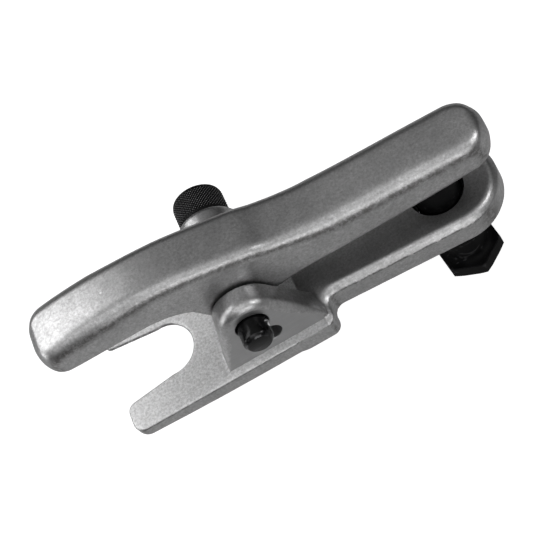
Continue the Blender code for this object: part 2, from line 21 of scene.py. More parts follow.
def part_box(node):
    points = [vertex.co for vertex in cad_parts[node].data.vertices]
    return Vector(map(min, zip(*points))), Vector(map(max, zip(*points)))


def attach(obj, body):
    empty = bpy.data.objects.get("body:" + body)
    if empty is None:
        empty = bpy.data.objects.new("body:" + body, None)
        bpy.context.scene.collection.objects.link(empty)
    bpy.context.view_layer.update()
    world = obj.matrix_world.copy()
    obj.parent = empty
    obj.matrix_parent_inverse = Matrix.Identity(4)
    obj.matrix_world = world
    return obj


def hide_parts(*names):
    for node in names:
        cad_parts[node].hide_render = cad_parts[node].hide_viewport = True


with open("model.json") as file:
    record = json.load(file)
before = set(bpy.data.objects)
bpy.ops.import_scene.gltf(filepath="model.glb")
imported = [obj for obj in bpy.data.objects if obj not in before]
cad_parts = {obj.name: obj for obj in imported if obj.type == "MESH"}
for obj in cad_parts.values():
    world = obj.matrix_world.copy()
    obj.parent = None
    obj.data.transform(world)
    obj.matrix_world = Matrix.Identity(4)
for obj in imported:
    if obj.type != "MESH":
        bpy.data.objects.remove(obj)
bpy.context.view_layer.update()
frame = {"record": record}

LOG = logging.getLogger("separator")
Point2 = tuple[float, float]
Rgb = tuple[float, float, float]
Piece = bpy.types.Object
Material = bpy.types.Material
Socket = bpy.types.NodeSocket
Sockets = bpy.types.bpy_prop_collection
Feed = Union[Socket, float, tuple]
MM = 0.001
ORIGIN = (0.0, 0.0, 0.0)
CREASE_ANGLE = math.radians(32.0)
WIRE_HELPER = (0.31, 0.87, 0.38)


# ------------------------------------------------------------------ shared geometry
@dataclass(frozen=True)
class Datum:
    """The pin axis and screw axis that every size is measured from."""

    pin: Vector
    screw_x: float

    @classmethod
    def from_record(cls, record: dict) -> "Datum":
        """Read both axes from the record's joints.

        Args:
            record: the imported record.

        Returns:
            The datum, with the pin axis in metres and the screw's x in millimetres.
        """
        joints = {joint["name"]: joint for joint in record["behaviour"]["joints"]}
        pin = Vector(joints["lever_pivot"]["pos_m"])
        screw = Vector(joints["screw_turn"]["pos_m"])
        return cls(pin=pin, screw_x=(screw.x - pin.x) / MM)

    def place(self, points: Sequence) -> np.ndarray:
        """Return millimetre points from the pin axis in frame metres."""
        return np.array(points) * MM + np.array(self.pin)

    def height(self, level: float) -> float:
        """Return a millimetre height from the pin axis in frame metres."""
        return self.pin.z + level * MM

    def box(self, node: str) -> tuple[np.ndarray, np.ndarray]:
        """Return a CAD node's corners in millimetres from the pin axis."""
        low, high = ((np.array(corner) - np.array(self.pin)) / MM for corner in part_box(node))
        return low, high


def arc(centre: Point2, radius: float, start: float, end: float, steps: int) -> list[Point2]:
    """Points along an arc, both ends kept.

    Args:
        centre: the arc's centre.
        radius: its radius.
        start: first angle in degrees.
        end: last angle in degrees.
        steps: number of intervals.

    Returns:
        steps + 1 points.
    """
    angles = [math.radians(start + (end - start) * i / steps) for i in range(steps + 1)]
    return [(centre[0] + radius * math.cos(a), centre[1] + radius * math.sin(a)) for a in angles]


def curve_at(table: Sequence[Point2], x: float) -> float:
    """Height at x of a smooth curve through a table of points.

    Args:
        table: pairs of x and height, in order of x.
        x: the place asked for.

    Returns:
        The height, which stays level beyond both ends of the table.
    """
    if not table[0][0] < x < table[-1][0]:
        return table[0][1] if x <= table[0][0] else table[-1][1]
    index = max(i for i in range(len(table) - 1) if table[i][0] <= x)
    (x0, v0), (x1, v1) = table[index], table[index + 1]
    before, after = table[max(index - 1, 0)], table[min(index + 2, len(table) - 1)]
    rise0 = (x1 - x0) * (v1 - before[1]) / (x1 - before[0])
    rise1 = (x1 - x0) * (after[1] - v0) / (after[0] - x0)
    t = (x - x0) / (x1 - x0)
    ease = t * t * (3.0 - 2.0 * t)
    return v0 + (v1 - v0) * ease + t * (1.0 - t) * ((1.0 - t) * rise0 - t * rise1)


class Shading(Enum):
    """How a mesh's normals are treated."""

    SMOOTH = "smooth"
    CREASED = "creased"


def shade(piece: Piece, shading: Shading) -> None:
    """Shade a piece smooth, with sharp creases where they are asked for.

    Args:
        piece: a mesh object.
        shading: whether creases stay sharp.
    """
    piece.data.shade_smooth()
    if shading is Shading.CREASED:
        piece.data.set_sharp_from_angle(angle=CREASE_ANGLE)


def mesh_piece(
    name: str,
    points: np.ndarray,
    faces: Sequence[Sequence[int]],
    material: Material,
    shading: Shading = Shading.CREASED,
) -> Piece:
    """Make a linked mesh object from points in frame metres.

    Args:
        name: the object's name.
        points: an (n, 3) array.
        faces: vertex indices of each face.
        material: its finish.
        shading: how its normals are treated.

    Returns:
        The new object.
    """
    mesh = bpy.data.meshes.new(name)
    mesh.from_pydata(points.tolist(), [], faces)
    mesh.validate()
    mesh.materials.append(material)
    piece = bpy.data.objects.new(name, mesh)
    bpy.context.scene.collection.objects.link(piece)
    tidy = bmesh.new()
    tidy.from_mesh(mesh)
    bmesh.ops.recalc_face_normals(tidy, faces=tidy.faces)
    tidy.to_mesh(mesh)
    tidy.free()
    shade(piece, shading)
    return piece


def ring_faces(rings: int, around: int) -> list[list[int]]:
    """Quads between stacked rings, with a cap at each end.

    Args:
        rings: number of rings.
        around: points in each ring.

    Returns:
        The faces' vertex indices.
    """
    faces = []
    for near in range(0, (rings - 1) * around, around):
        far = near + around
        for i in range(around):
            j = (i + 1) % around
            faces.append([near + i, near + j, far + j, far + i])
    last = (rings - 1) * around
    return faces + [list(range(around))[::-1], list(range(last, last + around))]


class Axis(Enum):
    """Axis that a turned piece is spun about."""

    X = 0
    Y = 1
    Z = 2


def ring_angles(around: int) -> np.ndarray:
    """Angles of the points round one ring, in radians."""
    return np.arange(around) * (2.0 * math.pi / around)


def turned_piece(
    datum: Datum,
    name: str,
    profile: Sequence[tuple[float, float | np.ndarray]],
    centre: Sequence[float],
    axis: Axis,
    material: Material,
    around: int = 96,
) -> Piece:
    """Make a turned piece, or a lofted one where the radius varies round a ring.

    Args:
        datum: the frame datum.
        name: the object's name.
        profile: pairs of distance along the axis and radius, in millimetres.
        centre: a point on the axis; its entry along the axis is not used.
        axis: the turning axis.
        material: its finish.
        around: points in each ring.

    Returns:
        The new object.
    """
    angle = ring_angles(around)
    side_a, side_b = (i for i in range(3) if i != axis.value)
    points = np.empty((len(profile), around, 3))
    for ring, (along, radius) in zip(points, profile):
        ring[:, axis.value] = along
        ring[:, side_a] = centre[side_a] + radius * np.cos(angle)
        ring[:, side_b] = centre[side_b] + radius * np.sin(angle)
    faces = ring_faces(len(profile), around)
    return mesh_piece(name, datum.place(points.reshape(-1, 3)), faces, material)


def wire_piece(
    datum: Datum,
    name: str,
    path: np.ndarray,
    radius: float,
    sides: int,
    material: Material,
) -> Piece:
    """Make a round wire along a path.

    Args:
        datum: the frame datum.
        name: the object's name.
        path: an (n, 3) array of millimetre points.
        radius: the wire's radius.
        sides: points round the wire.
        material: its finish.

    Returns:
        The new object.
    """
    along = np.gradient(path, axis=0)
    side = np.cross(along, WIRE_HELPER)
    side /= np.linalg.norm(side, axis=1)[:, None]
    other = np.cross(along / np.linalg.norm(along, axis=1)[:, None], side)
    angle = ring_angles(sides)[None, :, None]
    swing = side[:, None, :] * np.cos(angle) + other[:, None, :] * np.sin(angle)
    points = (path[:, None, :] + radius * swing).reshape(-1, 3)
    return mesh_piece(name, datum.place(points), ring_faces(len(path), sides), material)


def cut(piece: Piece, *cutters: Piece) -> None:
    """Cut a piece with one or more tools in a single exact step, and shade it again.

    Args:
        piece: the object to change.
        cutters: tools of one finish, which the cut faces take; they are removed afterwards.
    """
    joined = bmesh.new()
    for cutter in cutters:
        joined.from_mesh(cutter.data)
    joined.to_mesh(cutters[0].data)
    joined.free()
    step = piece.modifiers.new("cut", "BOOLEAN")
    step.operation = "DIFFERENCE"
    step.solver = "EXACT"
    step.material_mode = "TRANSFER"
    step.object = cutters[0]
    graph = bpy.context.evaluated_depsgraph_get()
    done = bpy.data.meshes.new_from_object(piece.evaluated_get(graph))
    piece.modifiers.remove(step)
    old, piece.data = piece.data, done
    done.name = piece.name
    bpy.data.meshes.remove(old)
    for cutter in cutters:
        bpy.data.objects.remove(cutter, do_unlink=True)
    shade(piece, Shading.CREASED)


# ------------------------------------------------------------------ solid fields
def polygon_distance(outline: Sequence[Point2], u: np.ndarray, v: np.ndarray) -> np.ndarray:
    """Signed distance to a closed outline, negative inside.

    Args:
        outline: the outline's points.
        u: first coordinates, any shape that broadcasts with v.
        v: second coordinates.

    Returns:
        Signed distances.
    """
    shape = np.broadcast(u, v).shape
    nearest = np.full(shape, 1e9)
    inside = np.zeros(shape, dtype=bool)
    count = len(outline)
    for i in range(count):
        (ax, ay), (bx, by) = outline[i], outline[(i + 1) % count]
        ex, ey = bx - ax, by - ay
        length = ex * ex + ey * ey
        if length < 1e-12:
            continue
        wx, wy = u - ax, v - ay
        t = np.clip((wx * ex + wy * ey) / length, 0.0, 1.0)
        nearest = np.minimum(nearest, (wx - ex * t) ** 2 + (wy - ey * t) ** 2)
        if ey != 0.0:
            crosses = (ay > v) != (by > v)
            inside ^= crosses & (u < ex * (v - ay) / ey + ax)
    return np.where(inside, -1.0, 1.0) * np.sqrt(nearest)


def slab(
    flat: np.ndarray, level: np.ndarray, low: float, high: float, round_low: float,
    round_high: float, tall: float = 1.0,
) -> np.ndarray:
    """Field of a flat outline pushed between two levels, with rounded rims.

    Args:
        flat: signed distance to the outline.
        level: coordinate across the slab.
        low: lower face.
        high: upper face.
        round_low: rim radius at the lower face.
        round_high: rim radius at the upper face.
        tall: height of the upper rim's rounding over its width.

    Returns:
        The signed field.
    """
    middle, half = 0.5 * (low + high), 0.5 * (high - low)
    radius = np.where(level > middle, round_high, round_low)
    stretch = np.where(level > middle, tall, 1.0)
    a = flat + radius
    b = (np.abs(level - middle) - half) / stretch + radius
    outer = np.sqrt(np.maximum(a, 0.0) ** 2 + np.maximum(b, 0.0) ** 2)
    return np.minimum(np.maximum(a, b), 0.0) + outer - radius


def blend_union(a: np.ndarray, b: np.ndarray, reach: float) -> np.ndarray:
    """Union of two fields with a soft fillet between them."""
    mix = np.maximum(reach - np.abs(a - b), 0.0) / reach
    return np.minimum(a, b) - mix * mix * reach * 0.25


def blend_cut(a: np.ndarray, b: np.ndarray, reach: float) -> np.ndarray:
    """Keep the part of field a where field b is negative, with a softened edge."""
    return -blend_union(-a, -b, reach)


class Net:
    """A quad mesh drawn over the zero level of a solid field."""

    PROBE = 0.05

    def __init__(self, solid: Callable, low: np.ndarray, high: np.ndarray, step: float) -> None:
        """Sample the field and draw the net.

        Args:
            solid: function of x, y, z arrays that gives the signed field.
            low: lowest corner of the sampled box, in millimetres.
            high: highest corner.
            step: grid spacing.
        """
        self.solid = solid
        self.step = step
        counts = np.ceil((high - low) / step).astype(int) + 1
        x, y, z = (low[i] + step * np.arange(counts[i]) for i in range(3))
        values = solid(x[:, None, None], y[None, :, None], z[None, None, :])
        spots, self.quads = self._draw(np.broadcast_to(values, counts))
        self.points = low + step * spots
        for _ in range(3):
            self._relax()

    def _draw(self, values: np.ndarray) -> tuple[np.ndarray, np.ndarray]:
        """Place one point in each crossed cell and join them across crossed grid edges.

        Args:
            values: the field at every grid point.

        Returns:
            The points, counted in grid steps, and the quads that join them.
        """
        inside = values < 0.0
        nx, ny, nz = (count - 1 for count in inside.shape)
        corners = sum(
            inside[i: nx + i, j: ny + j, k: nz + k].astype(np.int8)
            for i in (0, 1) for j in (0, 1) for k in (0, 1)
        )
        active = (corners > 0) & (corners < 8)
        cells = np.argwhere(active)
        index = np.full(active.shape, -1, dtype=np.int64)
        index[active] = np.arange(len(cells))
        total, hits = np.zeros((len(cells), 3)), np.zeros(len(cells))
        quads = []
        for axis in range(3):
            sides = [i for i in range(3) if i != axis]
            along = np.eye(3, dtype=int)[axis]
            for corner in ((0, 0), (1, 0), (0, 1), (1, 1)):
                start = cells.copy()
                start[:, sides] += corner
                near, far = values[tuple(start.T)], values[tuple((start + along).T)]
                crossed = (near < 0.0) != (far < 0.0)
                t = near[crossed] / (near - far)[crossed]
                total[crossed] += start[crossed] + t[:, None] * along
                hits[crossed] += 1.0
            spots = np.argwhere(np.diff(inside, axis=axis))
            for side in sides:
                spots = spots[(spots[:, side] > 0) & (spots[:, side] < active.shape[side])]
            ring = []
            for offset in ((-1, -1), (0, -1), (0, 0), (-1, 0)):
                cell = spots.copy()
                cell[:, sides] += offset
                ring.append(index[tuple(cell.T)])
            quads.append(np.stack(ring, axis=1))
        return total / hits[:, None], np.concatenate(quads)

    def _relax(self) -> None:
        """Even out the net, then pull its points back to the zero level."""
        total, hits = np.zeros_like(self.points), np.zeros(len(self.points))
        for a in range(4):
            ends = self.quads[:, a], self.quads[:, (a + 1) % 4]
            for this, other in (ends, ends[::-1]):
                np.add.at(total, this, self.points[other])
                np.add.at(hits, this, 1.0)
        points = 0.4 * self.points + 0.6 * total / hits[:, None]
        for _ in range(2):
            here = self.solid(*points.T)
            moved = [self.solid(*(points + self.PROBE * way).T) for way in np.eye(3)]
            slope = (np.stack(moved, axis=1) - here[:, None]) / self.PROBE
            steep = np.maximum((slope**2).sum(axis=1), 0.25)
            shift = np.clip(here / steep, -self.step, self.step)
            points = points - slope * shift[:, None]
        self.points = points


# ------------------------------------------------------------------ shader building
class Graph:
    """Short calls for building one node tree; values may be sockets or constants."""

    def __init__(self, tree: bpy.types.NodeTree) -> None:
        """Keep the tree that nodes are added to."""
        self.tree = tree

    def feed(self, node: bpy.types.Node, name: str | int, value: Feed) -> None:
        """Link a socket to a node's input, or set a constant on it."""
        if isinstance(value, Socket):
            self.tree.links.new(value, node.inputs[name])
        else:
            node.inputs[name].default_value = value

    def node(self, kind: str, inputs: dict | None = None, **settings) -> bpy.types.Node:
        """Add a node.

        Args:
            kind: Blender's name for the node type.
            inputs: values or sockets for its inputs, by name or number.
            settings: the node's own properties.

        Returns:
            The new node.
        """
        made = self.tree.nodes.new(kind)
        for name, value in settings.items():
            setattr(made, name, value)
        for name, value in (inputs or {}).items():
            self.feed(made, name, value)
        return made

    def effect(self, group: bpy.types.NodeTree, **values: float) -> Sockets:
        """Place a shared effect with a finish's own values and return its outputs."""
        inputs = {name.replace("_", " "): value for name, value in values.items()}
        return self.node("ShaderNodeGroup", node_tree=group, inputs=inputs).outputs

    def place(self, kind: str = "Object") -> Socket:
        """Return one of the texture coordinates."""
        return self.node("ShaderNodeTexCoord").outputs[kind]

    def along(self, axis: Axis, kind: str = "Object") -> Socket:
        """Return one texture coordinate's part along an axis."""
        return self.node("ShaderNodeSeparateXYZ", {0: self.place(kind)}).outputs[axis.value]

    def mix(self, factor: Feed, first: Feed, second: Feed) -> Socket:
        """Mix two colours and return the result."""
        made = self.node("ShaderNodeMix", {0: factor}, data_type="RGBA")
        for place, colour in ((6, first), (7, second)):
            self.feed(made, place, (*colour, 1.0) if isinstance(colour, tuple) else colour)
        return made.outputs[2]

    def math(self, operation: str, first: Feed, second: Feed = 0.0) -> Socket:
        """Do one step of arithmetic and return its value."""
        return self.node("ShaderNodeMath", {0: first, 1: second}, operation=operation).outputs[0]

    def times(self, first: Feed, second: Feed) -> Socket:
        """Return the product of two values."""
        return self.math("MULTIPLY", first, second)

    def plus(self, first: Feed, second: Feed) -> Socket:
        """Return the sum of two values."""
        return self.math("ADD", first, second)

    def minus(self, first: Feed, second: Feed) -> Socket:
        """Return the difference of two values."""
        return self.math("SUBTRACT", first, second)

    def weigh(self, first: Feed, share: float, second: Feed) -> Socket:
        """Return a weighted mean, with the first value's share given."""
        return self.plus(self.times(first, share), self.times(second, 1.0 - share))

    def spread(self, value: Feed, low: Feed, high: Feed, to_low: float = 0.0,
               to_high: float = 1.0) -> Socket:
        """Map a value from one range to another, clamped, and return it."""
        inputs = {"Value": value, "From Min": low, "From Max": high, "To Min": to_low,
                  "To Max": to_high}
        return self.node("ShaderNodeMapRange", inputs).outputs["Result"]

    def noise(self, vector: Feed, scale: Feed, detail: float, rough: float) -> Socket:
        """Add a noise texture and return its value."""
        inputs = {"Vector": vector, "Scale": scale, "Detail": detail, "Roughness": rough}
        return self.node("ShaderNodeTexNoise", inputs).outputs[0]

    def bump(self, height: Feed, strength: float, depth: float) -> Socket:
        """Turn a height into a surface normal and return it."""
        inputs = {"Strength": strength, "Distance": depth, "Height": height}
        return self.node("ShaderNodeBump", inputs).outputs[0]


class Effects:
    """Surface effects that several finishes share, each built once as a node group."""

    def __init__(self) -> None:
        """Build every group."""
        self.grain = self._group("blasted_grain", ["Scale"], ["Height", "Speckle"], self._grain)
        self.cloud = self._group("tone_cloud", ["Scale"], ["Value"], self._cloud)
        self.wear = self._group("edge_wear", ["Start", "Full", "Break Up"], ["Mask"], self._wear)
        self.scratch = self._group("hairlines", ["Scale", "Share"], ["Mask"], self._scratch)
        self.nick = self._group("small_nicks", ["Scale", "Size"], ["Mask"], self._nick)

    def _group(
        self, name: str, takes: list[str], gives: list[str], fill: Callable
    ) -> bpy.types.NodeTree:
        """Make a node group with float sockets and fill it.

        Args:
            name: the group's name.
            takes: its inputs.
            gives: its outputs.
            fill: method that builds the inside from (graph, inputs) and returns sockets.

        Returns:
            The node group.
        """
        tree = bpy.data.node_groups.new(name, "ShaderNodeTree")
        for label in takes:
            tree.interface.new_socket(label, in_out="INPUT", socket_type="NodeSocketFloat")
        for label in gives:
            tree.interface.new_socket(label, in_out="OUTPUT", socket_type="NodeSocketFloat")
        graph = Graph(tree)
        results = fill(graph, graph.node("NodeGroupInput").outputs)
        graph.node("NodeGroupOutput", dict(zip(gives, results)))
        return tree

    def _grain(self, graph: Graph, takes: Sockets) -> list[Socket]:
        """Fine shot-blasted grain: a height for bump and a bright and dark speckle."""
        fine = graph.noise(graph.place(), takes["Scale"], 2.0, 0.55)
        finer = graph.noise(graph.place(), graph.times(takes["Scale"], 2.3), 1.0, 0.5)
        height = graph.weigh(fine, 0.65, finer)
        return [height, graph.spread(height, 0.34, 0.66)]

    def _cloud(self, graph: Graph, takes: Sockets) -> list[Socket]:
        """Broad drifting tone, as scale and handling leave on forged steel."""
        broad = graph.noise(graph.place(), takes["Scale"], 3.0, 0.6)
        return [graph.spread(broad, 0.32, 0.68)]

    def _wear(self, graph: Graph, takes: Sockets) -> list[Socket]:
        """Rubbed convex edges, broken up by noise."""
        edge = graph.node("ShaderNodeNewGeometry").outputs["Pointiness"]
        ruffle = graph.minus(graph.noise(graph.place(), 900.0, 3.0, 0.6), 0.5)
        level = graph.plus(edge, graph.times(ruffle, takes["Break Up"]))
        return [graph.spread(level, takes["Start"], takes["Full"])]

    def _scratch(self, graph: Graph, takes: Sockets) -> list[Socket]:
        """Short hairlines in two slanting directions.

        Args:
            graph: the group's graph.
            takes: the group's inputs.

        Returns:
            The mask.
        """
        masks = []
        patch = graph.noise(graph.place(), graph.times(takes["Scale"], 0.09), 1.0, 0.5)
        for turn in ((0.2, 0.35, 0.75), (0.5, -0.3, -0.5)):
            stretch = {"Vector": graph.place(), "Rotation": turn, "Scale": (0.05, 1.0, 1.0)}
            turned = graph.node("ShaderNodeMapping", stretch).outputs[0]
            line = graph.noise(turned, takes["Scale"], 1.0, 0.4)
            level = graph.plus(line, graph.times(patch, 0.35))
            masks.append(graph.spread(graph.minus(level, takes["Share"]), 0.0, 0.03))
        return [graph.math("MAXIMUM", *masks)]

    def _nick(self, graph: Graph, takes: Sockets) -> list[Socket]:
        """Rare small dents and bright nicks."""
        inputs = {"Vector": graph.place(), "Scale": takes["Scale"]}
        cell = graph.node("ShaderNodeTexVoronoi", inputs, feature="F1").outputs
        chosen = graph.spread(cell["Color"], 0.55, 0.6)
        return [graph.times(chosen, graph.spread(cell["Distance"], 0.0, takes["Size"], 1.0, 0.0))]


class Finish:
    """Base of every finish; each one says what feeds the shader's inputs."""

    name: str

    def channels(self, graph: Graph, effects: Effects) -> dict[str, Feed]:
        """Say what feeds the shader.

        Args:
            graph: the material's graph.
            effects: the shared node groups.

        Returns:
            Sockets or constants for the shader's inputs, by name.
        """
        raise NotImplementedError

    def material(self, effects: Effects) -> Material:
        """Build the material from the shared effects.

        Args:
            effects: the node groups.

        Returns:
            The new material.
        """
        material = bpy.data.materials.new(self.name)
        material.use_nodes = True
        graph = Graph(material.node_tree)
        shader = material.node_tree.nodes["Principled BSDF"]
        for name, value in self.channels(graph, effects).items():
            graph.feed(shader, name, value)
        return material


@dataclass(frozen=True)
class ForgedSteel(Finish):
    """Shot-blasted forging steel, satin grey with speckle and bright rubbed edges."""

    name: str = "forged_steel_blasted"
    light: Rgb = (0.60, 0.60, 0.605)
    dark: Rgb = (0.41, 0.41, 0.415)
    rubbed: Rgb = (0.70, 0.70, 0.705)
    nicked: Rgb = (0.86, 0.86, 0.87)
    pit: Rgb = (0.23, 0.227, 0.223)
    roughness: Point2 = (0.42, 0.33)
    coarse_and_lit: Rgb = (0.86, 0.86, 0.865)
    fork_top_z: float = 0.0443
    coarse_and_lit_reach: Point2 = (0.0002, 0.0016)
    coarse_roughness: float = 0.60
    coarse_metallic: float = 0.72
    flash_and_shade: Rgb = (0.085, 0.078, 0.074)
    flash_and_shade_amount: float = 0.62
    flash_and_shade_ceiling: float = 1.0
    grain_scale: float = 1100.0
    cloud_scale: float = 95.0
    patch_scale: float = 427.5
    speckle: float = 0.62
    bump: float = 0.55
    grain_depth: float = 0.00006

    def blasted_and_lit_floor(self, graph: Graph) -> Socket:
        """Mask of the fork's flat, upward-facing top: coarser blasting, with a lighter painted
        colour for the light it catches.
        """
        near, far = (self.fork_top_z + reach for reach in self.coarse_and_lit_reach)
        low = graph.spread(graph.along(Axis.Z), near, far, 1.0, 0.0)
        return graph.times(low, graph.spread(graph.along(Axis.Z, "Normal"), 0.65, 0.92))

    def flash_and_reflected_shade(self, graph: Graph) -> Socket:
        """Mask of a rough dark band on faces turned steeply to the front and back: painted shade
        for the dark reflection those faces would show, also standing for the forging's trimmed
        flash line.

        Args:
            graph: the material's graph.

        Returns:
            The mask, between 0 and 1.
        """
        lean = graph.math("ABSOLUTE", graph.along(Axis.Y, "Normal"))
        rise = graph.spread(lean, 0.72, 0.86)
        fall = graph.spread(lean, 0.93, 0.995, 1.0, 0.0)
        ceiling = self.flash_and_shade_ceiling
        below = graph.spread(graph.along(Axis.Z), ceiling, ceiling + 0.001, 1.0, 0.0)
        ragged = graph.spread(graph.noise(graph.place(), 620.0, 3.0, 0.7), 0.40, 0.56, 0.25)
        band = graph.times(graph.math("MINIMUM", rise, fall), below)
        return graph.times(graph.times(band, ragged), self.flash_and_shade_amount)

    def channels(self, graph: Graph, effects: Effects) -> dict[str, Feed]:
        """Return sockets or constants for the shader's inputs, by name."""
        grain = graph.effect(effects.grain, Scale=self.grain_scale)
        cloud = graph.effect(effects.cloud, Scale=self.cloud_scale)["Value"]
        patch = graph.effect(effects.cloud, Scale=self.patch_scale)["Value"]
        wear = graph.effect(effects.wear, Start=0.53, Full=0.60, Break_Up=0.05)["Mask"]
        nick = graph.effect(effects.nick, Scale=75.0, Size=0.045)["Mask"]
        body = graph.mix(graph.weigh(cloud, 0.55, patch), self.dark, self.light)
        pits = graph.times(graph.minus(1.0, grain["Speckle"]), self.speckle)
        speckled = graph.mix(pits, body, self.pit)
        rubbed = graph.mix(graph.times(wear, 0.7), speckled, self.rubbed)
        # Painted shade: a rough dark band on steep front and back faces, where the steel would
        # reflect the dark horizon.
        flashed_and_shaded = graph.mix(self.flash_and_reflected_shade(graph), rubbed, self.flash_and_shade)
        # Painted light: the fork's upward faces get a lighter, less metallic colour as well as a
        # coarser grit.
        coarse_and_lit = self.blasted_and_lit_floor(graph)
        gritty_and_lit = graph.mix(graph.times(pits, 0.85), self.coarse_and_lit, self.pit)
        dull = graph.weigh(patch, 0.5, grain["Speckle"])
        rough = graph.spread(dull, 0.0, 1.0, *self.roughness)
        gap = graph.minus(self.coarse_roughness, rough)
        height = graph.minus(grain["Height"], graph.times(nick, 0.8))
        return {
            "Base Color": graph.mix(nick, graph.mix(coarse_and_lit, flashed_and_shaded, gritty_and_lit), self.nicked),
            "Roughness": graph.plus(rough, graph.times(coarse_and_lit, gap)),
            "Metallic": graph.spread(coarse_and_lit, 0.0, 1.0, 1.0, self.coarse_metallic),
            "Normal": graph.bump(height, self.bump, self.grain_depth),
        }


@dataclass(frozen=True)
class MachinedSteel(Finish):
    """Milled steel faces, even grey with faint cutter lines."""

    name: str = "machined_steel_face"
    light: Rgb = (0.40, 0.40, 0.403)
    dark: Rgb = (0.37, 0.37, 0.373)
    scratched: Rgb = (0.6, 0.6, 0.605)
    roughness: Point2 = (0.47, 0.40)
    line_scale: float = 900.0
    grain_depth: float = 0.00002

    def channels(self, graph: Graph, effects: Effects) -> dict[str, Feed]:
        """Return sockets or constants for the shader's inputs, by name."""
        inputs = {"Vector": graph.place(), "Scale": self.line_scale, "Distortion": 1.4,
                  "Detail": 2.0, "Detail Scale": 0.6}
        lines = graph.node("ShaderNodeTexWave", inputs, wave_type="BANDS",
                           bands_direction="X").outputs["Fac"]
        cloud = graph.effect(effects.cloud, Scale=160.0)["Value"]
        grain = graph.effect(effects.grain, Scale=2600.0)
        scratch = graph.effect(effects.scratch, Scale=900.0, Share=0.83)["Mask"]
        tone = graph.weigh(cloud, 0.6, grain["Speckle"])
        body = graph.mix(tone, self.dark, self.light)
        height = graph.plus(graph.times(lines, 0.25), grain["Height"])
        return {
            "Base Color": graph.mix(graph.times(scratch, 0.12), body, self.scratched),
            "Roughness": graph.spread(tone, 0.0, 1.0, *self.roughness),
            "Metallic": 1.0,
            "Normal": graph.bump(height, 0.12, self.grain_depth),
        }


@dataclass(frozen=True)
class BlackOxide(Finish):
    """Oil-blackened steel, with paler rubbed edges and hairline scratches."""

    name: str = "black_oxide_steel"
    black: Rgb = (0.003, 0.003, 0.0032)
    brown: Rgb = (0.010, 0.010, 0.0105)
    worn: Rgb = (0.09, 0.09, 0.093)
    scratched: Rgb = (0.22, 0.22, 0.23)
    roughness: Point2 = (0.46, 0.60)
    metallic: float = 0.2
    specular: float = 0.05
    wear_start: float = 0.545
    scratch_amount: float = 0.12
    grain_depth: float = 0.00003

    def rubbing(self, graph: Graph, effects: Effects) -> Socket:
        """Mask of where the black is rubbed thin."""
        full = self.wear_start + 0.08
        return graph.effect(effects.wear, Start=self.wear_start, Full=full, Break_Up=0.05)["Mask"]

    def channels(self, graph: Graph, effects: Effects) -> dict[str, Feed]:
        """Return sockets or constants for the shader's inputs, by name."""
        grain = graph.effect(effects.grain, Scale=1900.0)
        cloud = graph.effect(effects.cloud, Scale=210.0)["Value"]
        scratch = graph.effect(effects.scratch, Scale=620.0, Share=0.89)["Mask"]
        body = graph.mix(graph.times(cloud, 0.5), self.black, self.brown)
        rubbed = graph.mix(graph.times(self.rubbing(graph, effects), 0.6), body, self.worn)
        marks = graph.times(scratch, self.scratch_amount)
        return {
            "Base Color": graph.mix(marks, rubbed, self.scratched),
            "Roughness": graph.spread(cloud, 0.0, 1.0, *self.roughness),
            "Metallic": self.metallic,
            "Specular IOR Level": self.specular,
            "Normal": graph.bump(grain["Height"], 0.3, self.grain_depth),
        }


@dataclass(frozen=True)
class KnurledBlack(BlackOxide):
    """Blackened knurl whose diamond points are rubbed pale."""

    name: str = "black_knurl_steel"
    worn: Rgb = (0.55, 0.55, 0.56)
    roughness: Point2 = (0.42, 0.55)
    specular: float = 0.15
    scratch_amount: float = 0.0
    axis: tuple[float, float, float] = (0.0, 0.0, 0.0)
    point_band: Point2 = (0.00938, 0.00949)

    def rubbing(self, graph: Graph, effects: Effects) -> Socket:
        """Mask of the points, by distance from the pin's axis."""
        away = graph.node("ShaderNodeVectorMath", {0: graph.place(), 1: self.axis},
                          operation="SUBTRACT").outputs[0]
        flat = graph.node("ShaderNodeVectorMath", {0: away, 1: (1.0, 0.0, 1.0)},
                          operation="MULTIPLY").outputs[0]
        radius = graph.node("ShaderNodeVectorMath", {0: flat}, operation="LENGTH").outputs["Value"]
        return graph.spread(radius, *self.point_band)


@dataclass(frozen=True)
class BrightSteel(Finish):
    """Plain bright steel for the ball, the spring and the clip."""

    name: str = "bright_steel"
    light: Rgb = (0.86, 0.86, 0.87)
    dark: Rgb = (0.66, 0.66, 0.67)
    roughness: Point2 = (0.14, 0.06)
    bump: float = 0.04
    grain_depth: float = 0.00002

    def channels(self, graph: Graph, effects: Effects) -> dict[str, Feed]:
        """Return sockets or constants for the shader's inputs, by name."""
        cloud = graph.effect(effects.cloud, Scale=700.0)["Value"]
        grain = graph.effect(effects.grain, Scale=2400.0)
        return {
            "Base Color": graph.mix(cloud, self.dark, self.light),
            "Roughness": graph.spread(grain["Speckle"], 0.0, 1.0, *self.roughness),
            "Metallic": 1.0,
            "Normal": graph.bump(grain["Height"], self.bump, self.grain_depth),
        }


